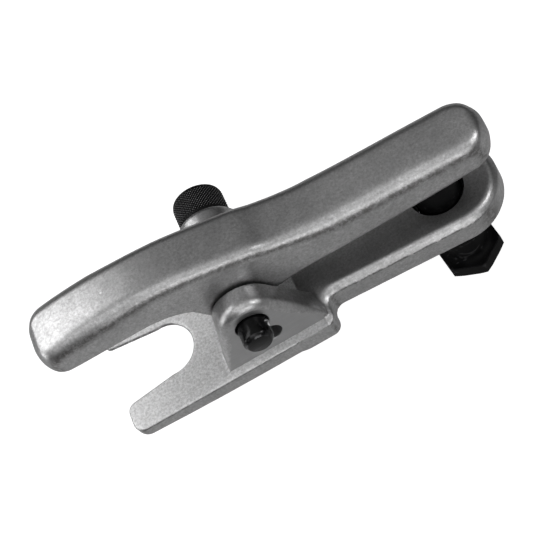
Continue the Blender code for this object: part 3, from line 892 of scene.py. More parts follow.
@dataclass(frozen=True)
class StudioFloor(Finish):
    """Pale matt table that glows evenly for the eye; for reflections and bounced light it glows in
    dimmer bands, as painted light.
    """

    name: str = "pale_floor"
    colour: Rgb = (0.92, 0.92, 0.92)
    shaded: Rgb = (0.9062, 0.9062, 0.9062)
    seen_glow: float = 0.96
    near_glow: float = 0.14
    far_glow: float = 0.01
    rear_glow: float = 0.17
    bright_band: tuple[float, float, float, float] = (-0.20, -0.11, -0.01, 0.05)
    rear_band: Point2 = (0.11, 0.26)

    def channels(self, graph: Graph, effects: Effects) -> dict[str, Feed]:
        """Return sockets or constants for the shader's inputs, by name."""
        cloud = graph.effect(effects.cloud, Scale=6.0)["Value"]
        tone = graph.mix(cloud, self.colour, self.shaded)
        across = graph.along(Axis.Y)
        # Painted light: for reflections and bounced light the floor glows in bands, brightest near
        # the tool, so the metal shows bright and dark reflections.
        edge, near, back, rear = self.bright_band
        front = graph.spread(across, edge, near, self.far_glow, self.near_glow)
        behind = graph.spread(across, back, rear, self.near_glow, self.far_glow)
        beyond = graph.spread(across, *self.rear_band, 0.0, self.rear_glow)
        bounce = graph.math("MAXIMUM", graph.math("MINIMUM", front, behind), beyond)
        seen = graph.node("ShaderNodeLightPath").outputs["Is Camera Ray"]
        unseen = graph.times(graph.minus(1.0, seen), bounce)
        return {
            "Base Color": graph.mix(0.55, tone, (0.0, 0.0, 0.0)),
            "Emission Color": tone,
            "Emission Strength": graph.plus(unseen, graph.times(seen, self.seen_glow)),
            "Roughness": 0.9,
            "Metallic": 0.0,
            "Specular IOR Level": 0.1,
        }


@dataclass
class Workshop:
    """What every sub-assembly needs to be built and dressed."""

    datum: Datum
    arm_steel: Material
    lever_steel: Material
    machined: Material
    black: Material
    oiled: Material
    knurled: Material
    chrome: Material
    wire: Material
    floor: Material

    @classmethod
    def open(cls, record: dict) -> "Workshop":
        """Build the datum and all finishes.

        Args:
            record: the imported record.

        Returns:
            The workshop.
        """
        datum = Datum.from_record(record)
        fork_top_z = datum.height(LowerArm.fork_top)
        finishes = {
            "arm_steel": ForgedSteel(name="arm_forging_steel", fork_top_z=fork_top_z,
                                     flash_and_shade_ceiling=datum.height(LowerArm.arm_top + 0.5)),
            "lever_steel": ForgedSteel(name="lever_forging_steel", fork_top_z=fork_top_z),
            "machined": MachinedSteel(),
            "black": BlackOxide(),
            "oiled": BlackOxide(
                name="black_pin_steel", black=(0.004, 0.004, 0.0043), worn=(0.35, 0.35, 0.36),
                roughness=(0.17, 0.27), metallic=0.6, specular=0.45, wear_start=0.53,
                scratch_amount=0.35),
            "knurled": KnurledBlack(axis=tuple(datum.pin)),
            "chrome": BrightSteel(name="polished_ball_steel"),
            "wire": BrightSteel(name="drawn_wire_steel", light=(0.6, 0.6, 0.61),
                                dark=(0.42, 0.42, 0.43), roughness=(0.4, 0.25), bump=0.2),
            "floor": StudioFloor(),
        }
        effects = Effects()
        built = {field_name: finish.material(effects) for field_name, finish in finishes.items()}
        return cls(datum=datum, **built)


class Slot(Enum):
    """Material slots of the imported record."""

    FORGED = "forged_steel"
    BLACK = "black_oxide"
    KNURL = "black_knurl"
    BALL = "bright_ball"
    WIRE = "spring_wire"


def fit(piece: Piece, body: str, node: str) -> None:
    """Let a piece ride on its body in place of its CAD node.

    Args:
        piece: the finished mesh.
        body: the CAD body it moves with.
        node: the CAD node it stands for.
    """
    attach(piece, body)
    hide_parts(node)
    LOG.info("%s: %d faces, rides on %s", piece.name, len(piece.data.polygons), body)


def bore_profile(near: float, far: float, radius: float, chamfer: float) -> list[Point2]:
    """Cutter profile of a bore with a chamfer at both ends."""
    over = 1.0
    return [(near - over, radius + chamfer + over), (near + chamfer, radius),
            (far - chamfer, radius), (far + over, radius + chamfer + over)]


# ------------------------------------------------------------------ lower arm
@dataclass
class LowerArm:
    """Forged lower arm: open fork, two pin ears, shoulder and the screw's rear boss."""

    underside: float = -28.0
    fork_top: float = -19.4
    arm_top: float = -16.3
    fork_tip_x: float = -57.5
    fork_half: float = 24.5
    tip_round: float = 4.6
    mouth_round: float = 3.5
    slot_root_x: float = -35.6
    slot_root_r: float = 10.0
    slot_flare: float = 7.0
    shoulder_x: float = 24.0
    shoulder_round: float = 3.6
    shoulder_hollow: float = 4.0
    arm_half_near: float = 15.0
    arm_near_x: float = 30.0
    arm_start_x: float = 9.0
    arm_start_soft: float = 2.0
    fall_start_y: float = 15.4
    fall_start_x: float = 28.0
    fall_slopes: tuple[float, float, float] = (0.94, 0.32, 0.4)
    fall_soft: float = 2.5
    fork_fillet: float = 2.2
    taper_soft: float = 1.6
    pocket_soft: float = 1.2
    ear_inner_edge: float = 1.0
    ear_fillet: float = 0.8
    ear_fillet_knob: float = 1.7
    net_margin: float = 1.5
    arm_end_x: float = 79.6
    arm_end_r: float = 18.1
    arm_edge: float = 3.3
    arm_edge_tall: float = 1.5
    arm_edge_low: float = 2.8
    fork_edge: float = 0.9
    ledge_end_x: float = 20.8
    ledge_start_x: float = -22.0
    ledge_drop: float = 0.03
    ear_inner: float = 11.5
    ear_outer: float = 21.0
    ear_outer_knob: float = 24.3
    ear_proud: float = 0.3
    ear_r: float = 11.4
    ear_edge: float = 4.4
    ear_edge_foot: float = 0.5
    ear_edge_rise: float = 15.0
    ear_edge_knob: float = 2.0
    ear_front_foot: Point2 = (-17.4, -19.4)
    ear_rear_foot: Point2 = (22.3, -17.6)
    ear_rear_foot_knob: Point2 = (19.6, -17.6)
    pocket_x: Point2 = (-15.0, 16.0)
    pocket_floor: float = -22.9
    bore_r: float = 6.0
    bore_chamfer: float = 0.3
    spare_bore: Point2 = (2.9, -10.3)
    spare_bore_r: float = 4.2
    taper_start: Point2 = (-6.0, -28.0)
    taper_tip_z: float = -24.9
    slot_lip: float = 1.2
    slot_bevel: float = 38.0
    hole_r: float = 9.25
    sink_r: float = 9.9
    sink_depth: float = 3.2
    net_step: float = 0.62
    outlines: dict[str, list[Point2]] = field(default_factory=dict)

    def plan(self) -> list[Point2]:
        """Plan outline of the whole arm, round the fork's slot and the rear end."""
        lean = math.degrees(
            math.asin((self.arm_end_r - self.arm_half_near) / (self.arm_end_x - self.arm_near_x))
        )
        half = arc((self.arm_end_x, 0.0), self.arm_end_r, 0.0, 90.0 + lean, 48)
        hollow, turn, tip = self.shoulder_hollow, self.shoulder_round, self.tip_round
        half += arc((self.shoulder_x + hollow, self.arm_half_near + hollow), hollow, 270.0,
                    180.0, 8)
        half += arc((self.shoulder_x - turn, self.fork_half - turn), turn, 0.0, 90.0, 8)
        half += arc((self.fork_tip_x + tip, self.fork_half - tip), tip, 90.0, 180.0, 8)
        mouth_x = self.fork_tip_x + self.mouth_round
        mouth_y = self.slot_side(mouth_x)
        half += arc((mouth_x, mouth_y + self.mouth_round), self.mouth_round, 180.0,
                    270.0 - self.slot_flare, 8)
        half += arc((self.slot_root_x, 0.0), self.slot_root_r, 90.0 + self.slot_flare, 0.0, 20)
        return half + [(x, -y) for x, y in reversed(half) if abs(y) > 1e-9]

    def slot_side(self, x: float) -> float:
        """Half width of the slot at x, along its flared side."""
        flare = math.radians(self.slot_flare)
        tangent_x = self.slot_root_x - self.slot_root_r * math.sin(flare)
        return self.slot_root_r * math.cos(flare) + (tangent_x - x) * math.tan(flare)

    def slot(self) -> list[Point2]:
        """Outline of the slot, carried on past its open mouth."""
        flare = self.slot_flare
        mouth = self.fork_tip_x - 12.0
        root = arc((self.slot_root_x, 0.0), self.slot_root_r, -90.0 - flare, 90.0 + flare, 30)
        return root + [(mouth, self.slot_side(mouth)), (mouth, -self.slot_side(mouth))]

    def ear(self, rear_foot: Point2) -> list[Point2]:
        """Side outline of an ear: round over the bore, straight flanks to the plate.

        Args:
            rear_foot: x and z where the rear flank ends.

        Returns:
            The outline in x and z.
        """
        front_x, front_z = self.ear_front_foot
        rear_x, rear_z = rear_foot
        front = math.atan2(front_z, front_x) % (2.0 * math.pi)
        front -= math.acos(self.ear_r / math.hypot(front_x, front_z))
        rear = math.atan2(rear_z, rear_x) + math.acos(self.ear_r / math.hypot(rear_x, rear_z))
        top = arc((0.0, 0.0), self.ear_r, math.degrees(rear), math.degrees(front), 30)
        sunk = self.underside + 3.0
        slope = (front_x - top[-1][0]) / (front_z - top[-1][1])
        low_x = top[-1][0] + (sunk - top[-1][1]) * slope
        return [(rear_x, sunk), (rear_x, rear_z)] + top + [(low_x, sunk)]

    def solid(self, x: np.ndarray, y: np.ndarray, z: np.ndarray) -> np.ndarray:
        """Signed field of the raw forging, in millimetres.

        Args:
            x: coordinates along the tool.
            y: coordinates across it.
            z: heights.

        Returns:
            The field, negative inside the steel.
        """
        plan = polygon_distance(self.outlines["plan"], x, y)
        fork = slab(plan, z, self.underside, self.fork_top, self.arm_edge_low, self.fork_edge)
        rear_plan = blend_cut(plan, self.arm_start_x - x, self.arm_start_soft)
        arm = slab(rear_plan, z, self.underside, self.arm_top, self.arm_edge_low, self.arm_edge,
                   self.arm_edge_tall)
        down, across, away = self.fall_slopes
        fall = (z - self.arm_top) * down + (np.abs(y) - self.fall_start_y) * across
        fall = fall - away * np.maximum(x - self.fall_start_x, 0.0)
        body = blend_union(fork, blend_cut(arm, fall, self.fall_soft), self.fork_fillet)
        near_x, near_z = self.taper_start
        slope = (self.taper_tip_z - near_z) / (self.fork_tip_x - near_x)
        body = blend_cut(body, near_z + slope * (x - near_x) - z, self.taper_soft)
        slot = polygon_distance(self.outlines["slot"], x, y)
        lean = math.radians(self.slot_bevel)
        under = slot - (self.fork_top - self.slot_lip - z) * math.tan(lean)
        body = np.maximum(body, -under * math.cos(lean))
        middle, reach = 0.5 * sum(self.pocket_x), 0.5 * (self.pocket_x[1] - self.pocket_x[0])
        pocket = np.maximum(np.abs(x - middle) - reach, np.abs(y) - self.ear_inner - 1.0)
        pocket = np.maximum(pocket, self.pocket_floor - z)
        body = blend_cut(body, -pocket, self.pocket_soft)
        rise = np.clip((z - self.fork_top) / self.ear_edge_rise, 0.0, 1.0)
        rim = self.ear_edge_foot + (self.ear_edge - self.ear_edge_foot) * rise
        front_ear = slab(polygon_distance(self.outlines["front_ear"], x, z), -y, self.ear_inner,
                         self.ear_outer + self.ear_proud, self.ear_inner_edge, rim)
        knob_ear = slab(polygon_distance(self.outlines["knob_ear"], x, z), y, self.ear_inner,
                        self.ear_outer_knob, self.ear_inner_edge, self.ear_edge_knob)
        body = blend_union(body, front_ear, self.ear_fillet)
        body = blend_union(body, knob_ear, self.ear_fillet_knob)
        return np.maximum(body, plan)

    def build(self, shop: Workshop) -> Piece:
        """Build the forging, then machine its faces, bores and screw hole.

        Args:
            shop: datum and finishes.

        Returns:
            The finished piece.
        """
        self.outlines = {"plan": self.plan(), "slot": self.slot(),
                         "front_ear": self.ear(self.ear_rear_foot),
                         "knob_ear": self.ear(self.ear_rear_foot_knob)}
        low, high = shop.datum.box("lower_arm")
        net = Net(self.solid, low - self.net_margin, high + self.net_margin, self.net_step)
        piece = mesh_piece("lower_arm_forging", shop.datum.place(net.points),
                           net.quads.tolist(), shop.arm_steel, Shading.SMOOTH)
        self.mill(shop, piece)
        for x, z, radius, chamfer in ((0.0, 0.0, self.bore_r, self.bore_chamfer),
                                      (*self.spare_bore, self.spare_bore_r, 0.2)):
            cut(piece, *(
                turned_piece(shop.datum, "reamer", bore_profile(near, far, radius, chamfer),
                             (x, 0.0, z), Axis.Y, shop.machined, 64)
                for near, far in ((self.ear_inner, self.ear_outer_knob),
                                  (-self.ear_outer, -self.ear_inner))
            ))
        shelf, step = self.arm_top - self.sink_depth, self.sink_r - self.hole_r
        hole = [(self.underside - 1.0, self.hole_r + 1.6), (self.underside + 0.8, self.hole_r),
                (shelf, self.hole_r), (shelf + step, self.sink_r),
                (self.arm_top - 0.3, self.sink_r), (self.arm_top + 1.0, self.sink_r + 1.3)]
        centre = (shop.datum.screw_x, 0.0, 0.0)
        # The hole's walls and countersink take the black oxide finish: painted shade for the deep
        # shadow round the screw.
        cut(piece, turned_piece(shop.datum, "drill", hole, centre, Axis.Z, shop.black, 80))
        return piece

    def mill(self, shop: Workshop, piece: Piece) -> None:
        """Mill the front ear's face; the ledge under it keeps the forging's finish.

        Args:
            shop: datum and finishes.
            piece: the raw forging.
        """
        near, far = -self.ear_outer, -self.fork_half - 4.0
        low, high = self.fork_top - self.ledge_drop, self.ear_r + 4.0
        ends = (self.ledge_start_x, self.ledge_end_x)
        corners = [(x, y, z) for z in (low, high)
                   for x, y in zip(ends + ends[::-1], (far, far, near, near))]
        cut(piece, mesh_piece("mill", shop.datum.place(corners), ring_faces(2, 4), shop.machined))
        for face in piece.data.polygons:
            if face.material_index and face.normal.z > 0.9:
                face.material_index = 0

    def dress_up(self, shop: Workshop) -> None:
        """Build the arm and fit it to its body."""
        fit(self.build(shop), "arm", "lower_arm")


# ------------------------------------------------------------------ upper lever
@dataclass
class UpperLever:
    """Forged upper lever: bowed nose, pivot boss and straight rear end."""

    half: float = 11.0
    front_x: float = -66.5
    rear_x: float = 100.8
    boss_r: float = 9.6
    nose_round: float = 7.4
    tail_round: float = 10.4
    nose_edge: float = 3.6
    tail_edge: float = 4.8
    bore_r: float = 6.0
    crown: float = 0.25
    corner_steps: int = 12
    flat_steps: int = 10
    pitch: float = 0.9
    top: tuple[Point2, ...] = (
        (-66.5, 28.2), (-62.0, 29.4), (-56.0, 30.5), (-50.0, 31.2), (-44.0, 31.6), (-38.0, 31.8),
        (-32.0, 31.8), (-26.0, 31.6), (-20.0, 31.0), (-14.0, 30.2), (-8.0, 28.9), (0.0, 26.8),
        (8.0, 24.6), (14.0, 22.8), (19.0, 20.6), (24.0, 19.1), (29.0, 17.9), (36.0, 16.5),
        (46.0, 15.4), (60.0, 14.5), (75.0, 13.7), (90.0, 12.7), (101.3, 12.0),
    )
    bottom: tuple[Point2, ...] = (
        (-66.5, 15.4), (-60.0, 14.7), (-54.0, 14.4), (-46.0, 14.3), (-36.0, 14.1), (-28.0, 13.3),
        (-20.0, 11.4), (-14.8, 8.6),
    )
    rear_bottom: tuple[Point2, ...] = (
        (8.7, -4.06), (13.0, -3.5), (20.0, -3.5), (40.0, -3.6), (62.0, -3.6), (82.0, -3.4),
        (101.3, -2.4),
    )
    edge_top: tuple[Point2, ...] = (
        (-66.5, 5.8), (-40.0, 6.0), (-20.0, 5.2), (20.0, 4.6), (40.0, 6.2), (101.3, 6.0),
    )
    edge_tall: float = 1.1
    edge_bottom: tuple[Point2, ...] = (
        (-40.0, 5.0), (-20.0, 3.2), (-9.0, 0.8), (9.0, 0.8), (20.0, 3.2), (40.0, 5.0),
    )
    swell: tuple[Point2, ...] = (
        (-40.0, 0.9), (-24.0, 0.0), (24.0, 0.0), (40.0, 0.9),
    )

    def low_at(self, x: float) -> float:
        """Height of the underside, with the boss hanging round the pin.

        Args:
            x: place along the lever.

        Returns:
            The height.
        """
        front_x, front_z = self.bottom[-1]
        tangent = math.radians(190.0)
        boss_x, boss_z = self.boss_r * math.cos(tangent), self.boss_r * math.sin(tangent)
        if x <= front_x:
            return curve_at(self.bottom, x)
        if x <= boss_x:
            return front_z + (boss_z - front_z) * (x - front_x) / (boss_x - front_x)
        if x <= self.rear_bottom[0][0]:
            return -math.sqrt(max(self.boss_r**2 - x * x, 0.0))
        return curve_at(self.rear_bottom, x)

    @staticmethod
    def drop(distance: float, radius: float) -> float:
        """How far a rounded end has fallen back at a distance from its tip."""
        reach = max(radius - distance, 0.0)
        return radius - math.sqrt(max(radius * radius - reach * reach, 0.0))

    def stations(self) -> list[float]:
        """X positions of the cross-sections, closer round the ends and the boss."""
        ends = [1.0 - math.sin(math.pi / 2 * i / 22) for i in range(23)]
        places = [self.front_x + self.nose_round * e for e in ends]
        places += [self.rear_x - self.tail_round * e for e in ends]
        start, stop = self.front_x + self.nose_round, self.rear_x - self.tail_round
        count = int((stop - start) / self.pitch)
        places += [start + (stop - start) * i / count for i in range(1, count)]
        boss = [self.boss_r * math.cos(math.radians(190.0 + 145.0 * i / 30)) for i in range(31)]
        plain = [x for x in places if all(abs(x - b) > 0.25 for b in boss)]
        return sorted({round(x, 4) for x in plain + boss})

    def section(self, x: float) -> list[Point2]:
        """Cross-section ring at x as (y, z) points, evenly divided on its flats.

        Args:
            x: place along the lever.

        Returns:
            The same number of points at every x.
        """
        to_tip = min(x - self.front_x, self.rear_x - x)
        nose = x < 0.0
        half = self.half + curve_at(self.swell, x)
        half -= self.drop(to_tip, self.nose_round if nose else self.tail_round)
        fall = self.drop(to_tip, self.nose_edge if nose else self.tail_edge)
        top, low = curve_at(self.top, x) - fall, self.low_at(x) + fall
        room = 0.48 * (top - low)
        top_r = min(curve_at(self.edge_top, x), 0.95 * half, room)
        low_r = min(curve_at(self.edge_bottom, x), 0.95 * half, room)
        tall = min(self.edge_tall, 0.98 * max(top - low - low_r, 0.2) / top_r)
        corners = ((half, low, low_r, 1.0, -90.0), (half, top, top_r, tall, 0.0),
                   (-half, top, top_r, tall, 90.0), (-half, low, low_r, 1.0, 180.0))
        arcs = []
        for y_edge, z_edge, radius, stretch, start in corners:
            middle = z_edge + (radius if z_edge == low else -radius * stretch)
            flat = arc((y_edge - math.copysign(radius, y_edge), 0.0), radius, start, start + 90.0,
                       self.corner_steps)
            arcs.append([(y, middle + z * stretch) for y, z in flat])
        ring = []
        for i, corner in enumerate(arcs):
            ring += corner
            (ay, az), (by, bz) = corner[-1], arcs[(i + 1) % 4][0]
            for k in range(1, self.flat_steps):
                t = k / self.flat_steps
                ring.append((ay + (by - ay) * t, az + (bz - az) * t))
        crown = self.crown * half / self.half
        return [(y, z - crown * (y / half) ** 2 if z > 0.5 * (top + low) else z) for y, z in ring]

    def build(self, shop: Workshop) -> Piece:
        """Loft the lever through its sections and bore it for the pin.

        Args:
            shop: datum and finishes.

        Returns:
            The finished piece.
        """
        rings = [[(x, y, z) for y, z in self.section(x)] for x in self.stations()]
        points = shop.datum.place(rings).reshape(-1, 3)
        piece = mesh_piece("upper_lever_forging", points, ring_faces(len(rings), len(rings[0])),
                           shop.lever_steel, Shading.SMOOTH)
        bore = bore_profile(-self.half, self.half, self.bore_r, 0.5)
        cut(piece, turned_piece(shop.datum, "reamer", bore, ORIGIN, Axis.Y, shop.machined, 64))
        return piece

    def dress_up(self, shop: Workshop) -> None:
        """Build the lever and fit it to its body."""
        fit(self.build(shop), "lever", "upper_lever")


# ------------------------------------------------------------------ pressure screw set
@dataclass
class ScrewSet:
    """Pressure screw with its hexagon, thrust cap and retaining clip."""

    hex_flats: float = 22.0
    hex_top: float = -57.7
    hex_side: float = 6.0
    hex_cone: float = 1.3
    hex_turn: float = -24.0
    hex_bevel: float = 0.3
    neck_r: float = 7.75
    neck_fillet: float = 2.3
    neck_top: float = -39.0
    crest_r: float = 8.9
    root_r: float = 8.1
    pitch: float = 1.5
    thread_top: float = -20.6
    stud_r: float = 5.0
    stud_top: float = -8.6
    groove: Point2 = (-12.1, -10.7)
    groove_r: float = 4.3
    cap_r: float = 8.4
    cap_bottom: float = -18.6
    cap_top: float = -3.85
    cap_dome_r: float = 16.0
    cap_bore_r: float = 5.4
    cap_bore_top: float = -8.2
    cap_groove_r: float = 5.85
    clip_r: float = 5.05
    clip_wire_r: float = 0.5
    clip_gap: float = 40.0
    around: int = 120

    def hexagon(self, angle: np.ndarray, flats: float) -> np.ndarray:
        """Radius of a hexagon at the given angles."""
        turned = np.mod(angle - math.radians(self.hex_turn), math.pi / 3) - math.pi / 6
        return 0.5 * flats / np.cos(turned)

    def thread(self, angle: np.ndarray, level: float) -> np.ndarray:
        """Radius of the right-hand thread at a level, flat at crest and root."""
        phase = np.mod(level / self.pitch - angle / (2.0 * math.pi), 1.0)
        height = np.clip((1.0 - np.abs(2.0 * phase - 1.0)) * 1.35 - 0.15, 0.0, 1.0)
        fade = min(max((self.thread_top - level) / 1.2, 0.0), 1.0)
        return self.root_r + (self.crest_r - self.root_r) * height * (0.25 + 0.75 * fade)

    def screw_rings(self) -> list[tuple[float, float | np.ndarray]]:
        """Levels and radii of every ring of the screw, from the hexagon's end upwards."""
        angle = ring_angles(self.around)
        low, high, half = self.hex_top - self.hex_side, self.hex_top, 0.5 * self.hex_flats
        shape = self.hexagon(angle, self.hex_flats)
        rings = [(low + 0.5, 2.4), (low + 0.5, 3.0), (low, 3.6), (low, half - 0.9)]
        for i in range(9):
            rise = self.hex_cone * i / 8
            rings.append((low + rise, np.minimum(shape, half + 0.5 + rise * 1.9)))
        side = self.hex_side - self.hex_cone - self.hex_bevel
        rings += [(low + self.hex_cone + side * t, shape) for t in (0.35, 0.7, 1.0)]
        foot = self.neck_r + self.neck_fillet
        rings += [(high, self.hexagon(angle, self.hex_flats - 2.0 * self.hex_bevel))]
        rings += [(high + self.neck_fillet - rise, foot - inward)
                  for rise, inward in arc(ORIGIN, self.neck_fillet, 0.0, 90.0, 10)]
        rings.append((self.neck_top, self.neck_r))
        start = self.neck_top + 0.6
        count = int((self.thread_top - start) / self.pitch * 12)
        for i in range(count + 1):
            level = start + (self.thread_top - start) * i / count
            rings.append((level, self.thread(angle, level)))
        return rings + [
            (self.thread_top, self.stud_r + 0.4), (self.thread_top + 0.4, self.stud_r),
            (self.groove[0], self.stud_r), (self.groove[0], self.groove_r),
            (self.groove[1], self.groove_r), (self.groove[1], self.stud_r),
            (self.stud_top - 0.5, self.stud_r), (self.stud_top, self.stud_r - 0.5),
        ]

    def build_screw(self, shop: Workshop) -> Piece:
        """Build the screw as one lofted mesh."""
        centre = (shop.datum.screw_x, 0.0, 0.0)
        return turned_piece(shop.datum, "pressure_screw_turned", self.screw_rings(), centre,
                            Axis.Z, shop.black, self.around)

    def build_cap(self, shop: Workshop) -> Piece:
        """Build the domed thrust cap with its stud bore and clip groove.

        Args:
            shop: datum and finishes.

        Returns:
            The finished piece.
        """
        centre, rim = (shop.datum.screw_x, 0.0, 0.0), self.cap_r - 0.7
        dome_z = self.cap_top - self.cap_dome_r
        rim_z = dome_z + math.sqrt(self.cap_dome_r**2 - rim**2)
        outside = [(self.cap_bottom, self.cap_r - 0.4), (self.cap_bottom + 0.4, self.cap_r)]
        outside += [(rim_z - 0.9 + 0.9 * rise, rim + 0.7 * out)
                    for out, rise in arc(ORIGIN, 1.0, 0.0, 60.0, 4)]
        radii = [rim * (1.0 - i / 14.3) for i in range(1, 15)]
        outside += [(dome_z + math.sqrt(self.cap_dome_r**2 - r**2), r) for r in radii]
        cap = turned_piece(shop.datum, "thrust_cap_turned", outside, centre, Axis.Z, shop.black)
        inside = [(self.cap_bottom - 1.0, self.cap_bore_r), (self.groove[0], self.cap_bore_r),
                  (self.groove[0], self.cap_groove_r), (self.groove[1], self.cap_groove_r),
                  (self.groove[1], self.cap_bore_r), (self.cap_bore_top, self.cap_bore_r)]
        cut(cap, turned_piece(shop.datum, "bore", inside, centre, Axis.Z, shop.black, 64))
        return cap

    def build_clip(self, shop: Workshop) -> Piece:
        """Build the round-wire clip that holds the cap on the stud."""
        ring = arc((shop.datum.screw_x, 0.0), self.clip_r, self.clip_gap / 2,
                   360.0 - self.clip_gap / 2, 60)
        path = np.array([(x, y, 0.5 * sum(self.groove)) for x, y in ring])
        return wire_piece(shop.datum, "cap_clip_wire", path, self.clip_wire_r, 14, shop.wire)

    def dress_up(self, shop: Workshop) -> None:
        """Build the set and fit each piece to its body."""
        fit(self.build_screw(shop), "screw", "pressure_screw")
        fit(self.build_cap(shop), "thrust", "thrust_cap")
        fit(self.build_clip(shop), "thrust", "cap_clip")


# ------------------------------------------------------------------ pivot pin set
@dataclass
class PinSet:
    """Pull-out pivot pin with its knurled knob, detent ball and spring."""

    pin_r: float = 5.5
    front: float = -29.0
    back: float = 33.0
    chamfer: float = 1.2
    chamfer_length: float = 1.6
    knob_r: float = 9.5
    knob_front: float = 24.7
    knob_back: float = 36.7
    knob_bore_r: float = 5.6
    knob_bore_end: float = 33.3
    knurl_depth: float = 0.40
    knurl_starts: int = 52
    knurl_lead: float = 58.0
    rear_round: float = 1.8
    ball_r: float = 2.0
    ball_y: float = -22.9
    ball_out: float = 3.9
    pocket_r: float = 2.15
    pocket_end: float = -1.6
    spring_r: float = 1.15
    spring_wire_r: float = 0.2
    spring_turns: float = 4.0
    spring_span: Point2 = (-1.3, 1.3)

    def build_pin(self, shop: Workshop) -> Piece:
        """Build the turned pin and drill the ball's pocket.

        Args:
            shop: datum and finishes.

        Returns:
            The finished piece.
        """
        r, c, long = self.pin_r, self.chamfer, self.chamfer_length
        profile = [(self.front, 0.4), (self.front, r - c - 0.15), (self.front + 0.06, r - c),
                   (self.front + long - 0.15, r - 0.1), (self.front + long + 0.1, r)]
        profile += [(self.front + long + 0.1 + i * 2.0, r) for i in range(1, 29)]
        profile += [(self.back - 0.5, r), (self.back, r - 0.5), (self.back, 0.4)]
        piece = turned_piece(shop.datum, "pivot_pin_turned", profile, ORIGIN, Axis.Y, shop.oiled)
        seat = [(self.pocket_end, self.pocket_r), (r - 0.5, self.pocket_r),
                (r + 0.6, self.pocket_r + 0.35)]
        centre = (0.0, self.ball_y, 0.0)
        cut(piece, turned_piece(shop.datum, "drill", seat, centre, Axis.X, shop.black, 48))
        return piece

    def knob_rings(self, angle: np.ndarray) -> list[tuple[float, float | np.ndarray]]:
        """Rings of the knob: front rim, diamond knurl and rounded rear.

        Args:
            angle: the angles of the points round a ring.

        Returns:
            Levels and radii.
        """
        rings = [(self.knob_front, self.knob_r - 1.1), (self.knob_front + 0.12, self.knob_r - 0.8),
                 (self.knob_front + 0.7, self.knob_r - self.knurl_depth)]
        start, stop = self.knob_front + 0.85, self.knob_back - self.rear_round
        count = int((stop - start) / 0.2)
        for i in range(count + 1):
            level = start + (stop - start) * i / count
            height = 1.0
            for lead in (self.knurl_lead, -self.knurl_lead):
                turn = angle / (2.0 * math.pi) + level / lead
                phase = np.mod(turn * self.knurl_starts, 1.0)
                height = np.minimum(height, 1.25 - 1.25 * np.abs(2.0 * phase - 1.0))
            ramp = min(i / 3.0, (count - i) / 2.0 + 0.4, 1.0)
            rings.append((level, self.knob_r - self.knurl_depth * (1.0 - height * ramp)))
        rim = self.knob_r - self.knurl_depth * 0.7 - self.rear_round
        rings += [(stop + 1.003 * rise, rim + out)
                  for out, rise in arc(ORIGIN, self.rear_round, 0.0, 84.0, 8)[1:]]
        return rings + [(self.knob_back, 2.2), (self.knob_back - 0.35, 1.5)]

    def build_knob(self, shop: Workshop) -> Piece:
        """Build the diamond-knurled knob with its blind socket.

        Args:
            shop: datum and finishes.

        Returns:
            The finished piece.
        """
        around = 6 * self.knurl_starts
        piece = turned_piece(shop.datum, "knob_knurled", self.knob_rings(ring_angles(around)),
                             ORIGIN, Axis.Y, shop.knurled, around)
        socket = [(self.knob_front - 1.0, self.knob_bore_r), (self.knob_bore_end, self.knob_bore_r)]
        cut(piece, turned_piece(shop.datum, "drill", socket, ORIGIN, Axis.Y, shop.black, 64))
        return piece

    def build_ball(self, shop: Workshop) -> Piece:
        """Build the polished detent ball."""
        profile = [(self.ball_out + z, radius)
                   for radius, z in arc(ORIGIN, self.ball_r, -88.0, 88.0, 40)]
        return turned_piece(shop.datum, "detent_ball_polished", profile, (0.0, self.ball_y, 0.0),
                            Axis.X, shop.chrome, 64)

    def build_spring(self, shop: Workshop) -> Piece:
        """Build the coil spring behind the ball."""
        swing = np.arange(int(self.spring_turns * 32) + 1) * (2.0 * math.pi / 32)
        path = np.stack([np.linspace(*self.spring_span, len(swing)),
                         self.ball_y + self.spring_r * np.cos(swing),
                         self.spring_r * np.sin(swing)], axis=1)
        return wire_piece(shop.datum, "detent_spring_wire", path, self.spring_wire_r, 10, shop.wire)

    def dress_up(self, shop: Workshop) -> None:
        """Build the set and fit each piece to its body."""
        fit(self.build_pin(shop), "pin", "pivot_pin")
        fit(self.build_knob(shop), "pin", "knob")
        fit(self.build_ball(shop), "ball", "detent_ball")
        fit(self.build_spring(shop), "pin", "detent_spring")


# ------------------------------------------------------------------ studio
@dataclass(frozen=True)
class SoftLight:
    """One soft box, placed by the direction it shines from."""

    name: str
    toward: tuple[float, float, float]
    distance: float
    size: Point2
    glow: float

    def build(self, aim: Vector) -> None:
        """Hang the light and point it at the aim.

        Args:
            aim: the point it shines at, in frame metres.
        """
        data = bpy.data.lights.new(self.name, "AREA")
        data.shape = "RECTANGLE"
        data.size, data.size_y = self.size
        data.energy = self.glow * math.pi * self.size[0] * self.size[1]
        lamp = bpy.data.objects.new(self.name, data)
        bpy.context.scene.collection.objects.link(lamp)
        direction = Vector(self.toward).normalized()
        lamp.location = aim + direction * self.distance
        lamp.rotation_mode = "QUATERNION"
        lamp.rotation_quaternion = direction.to_track_quat("Z", "Y")


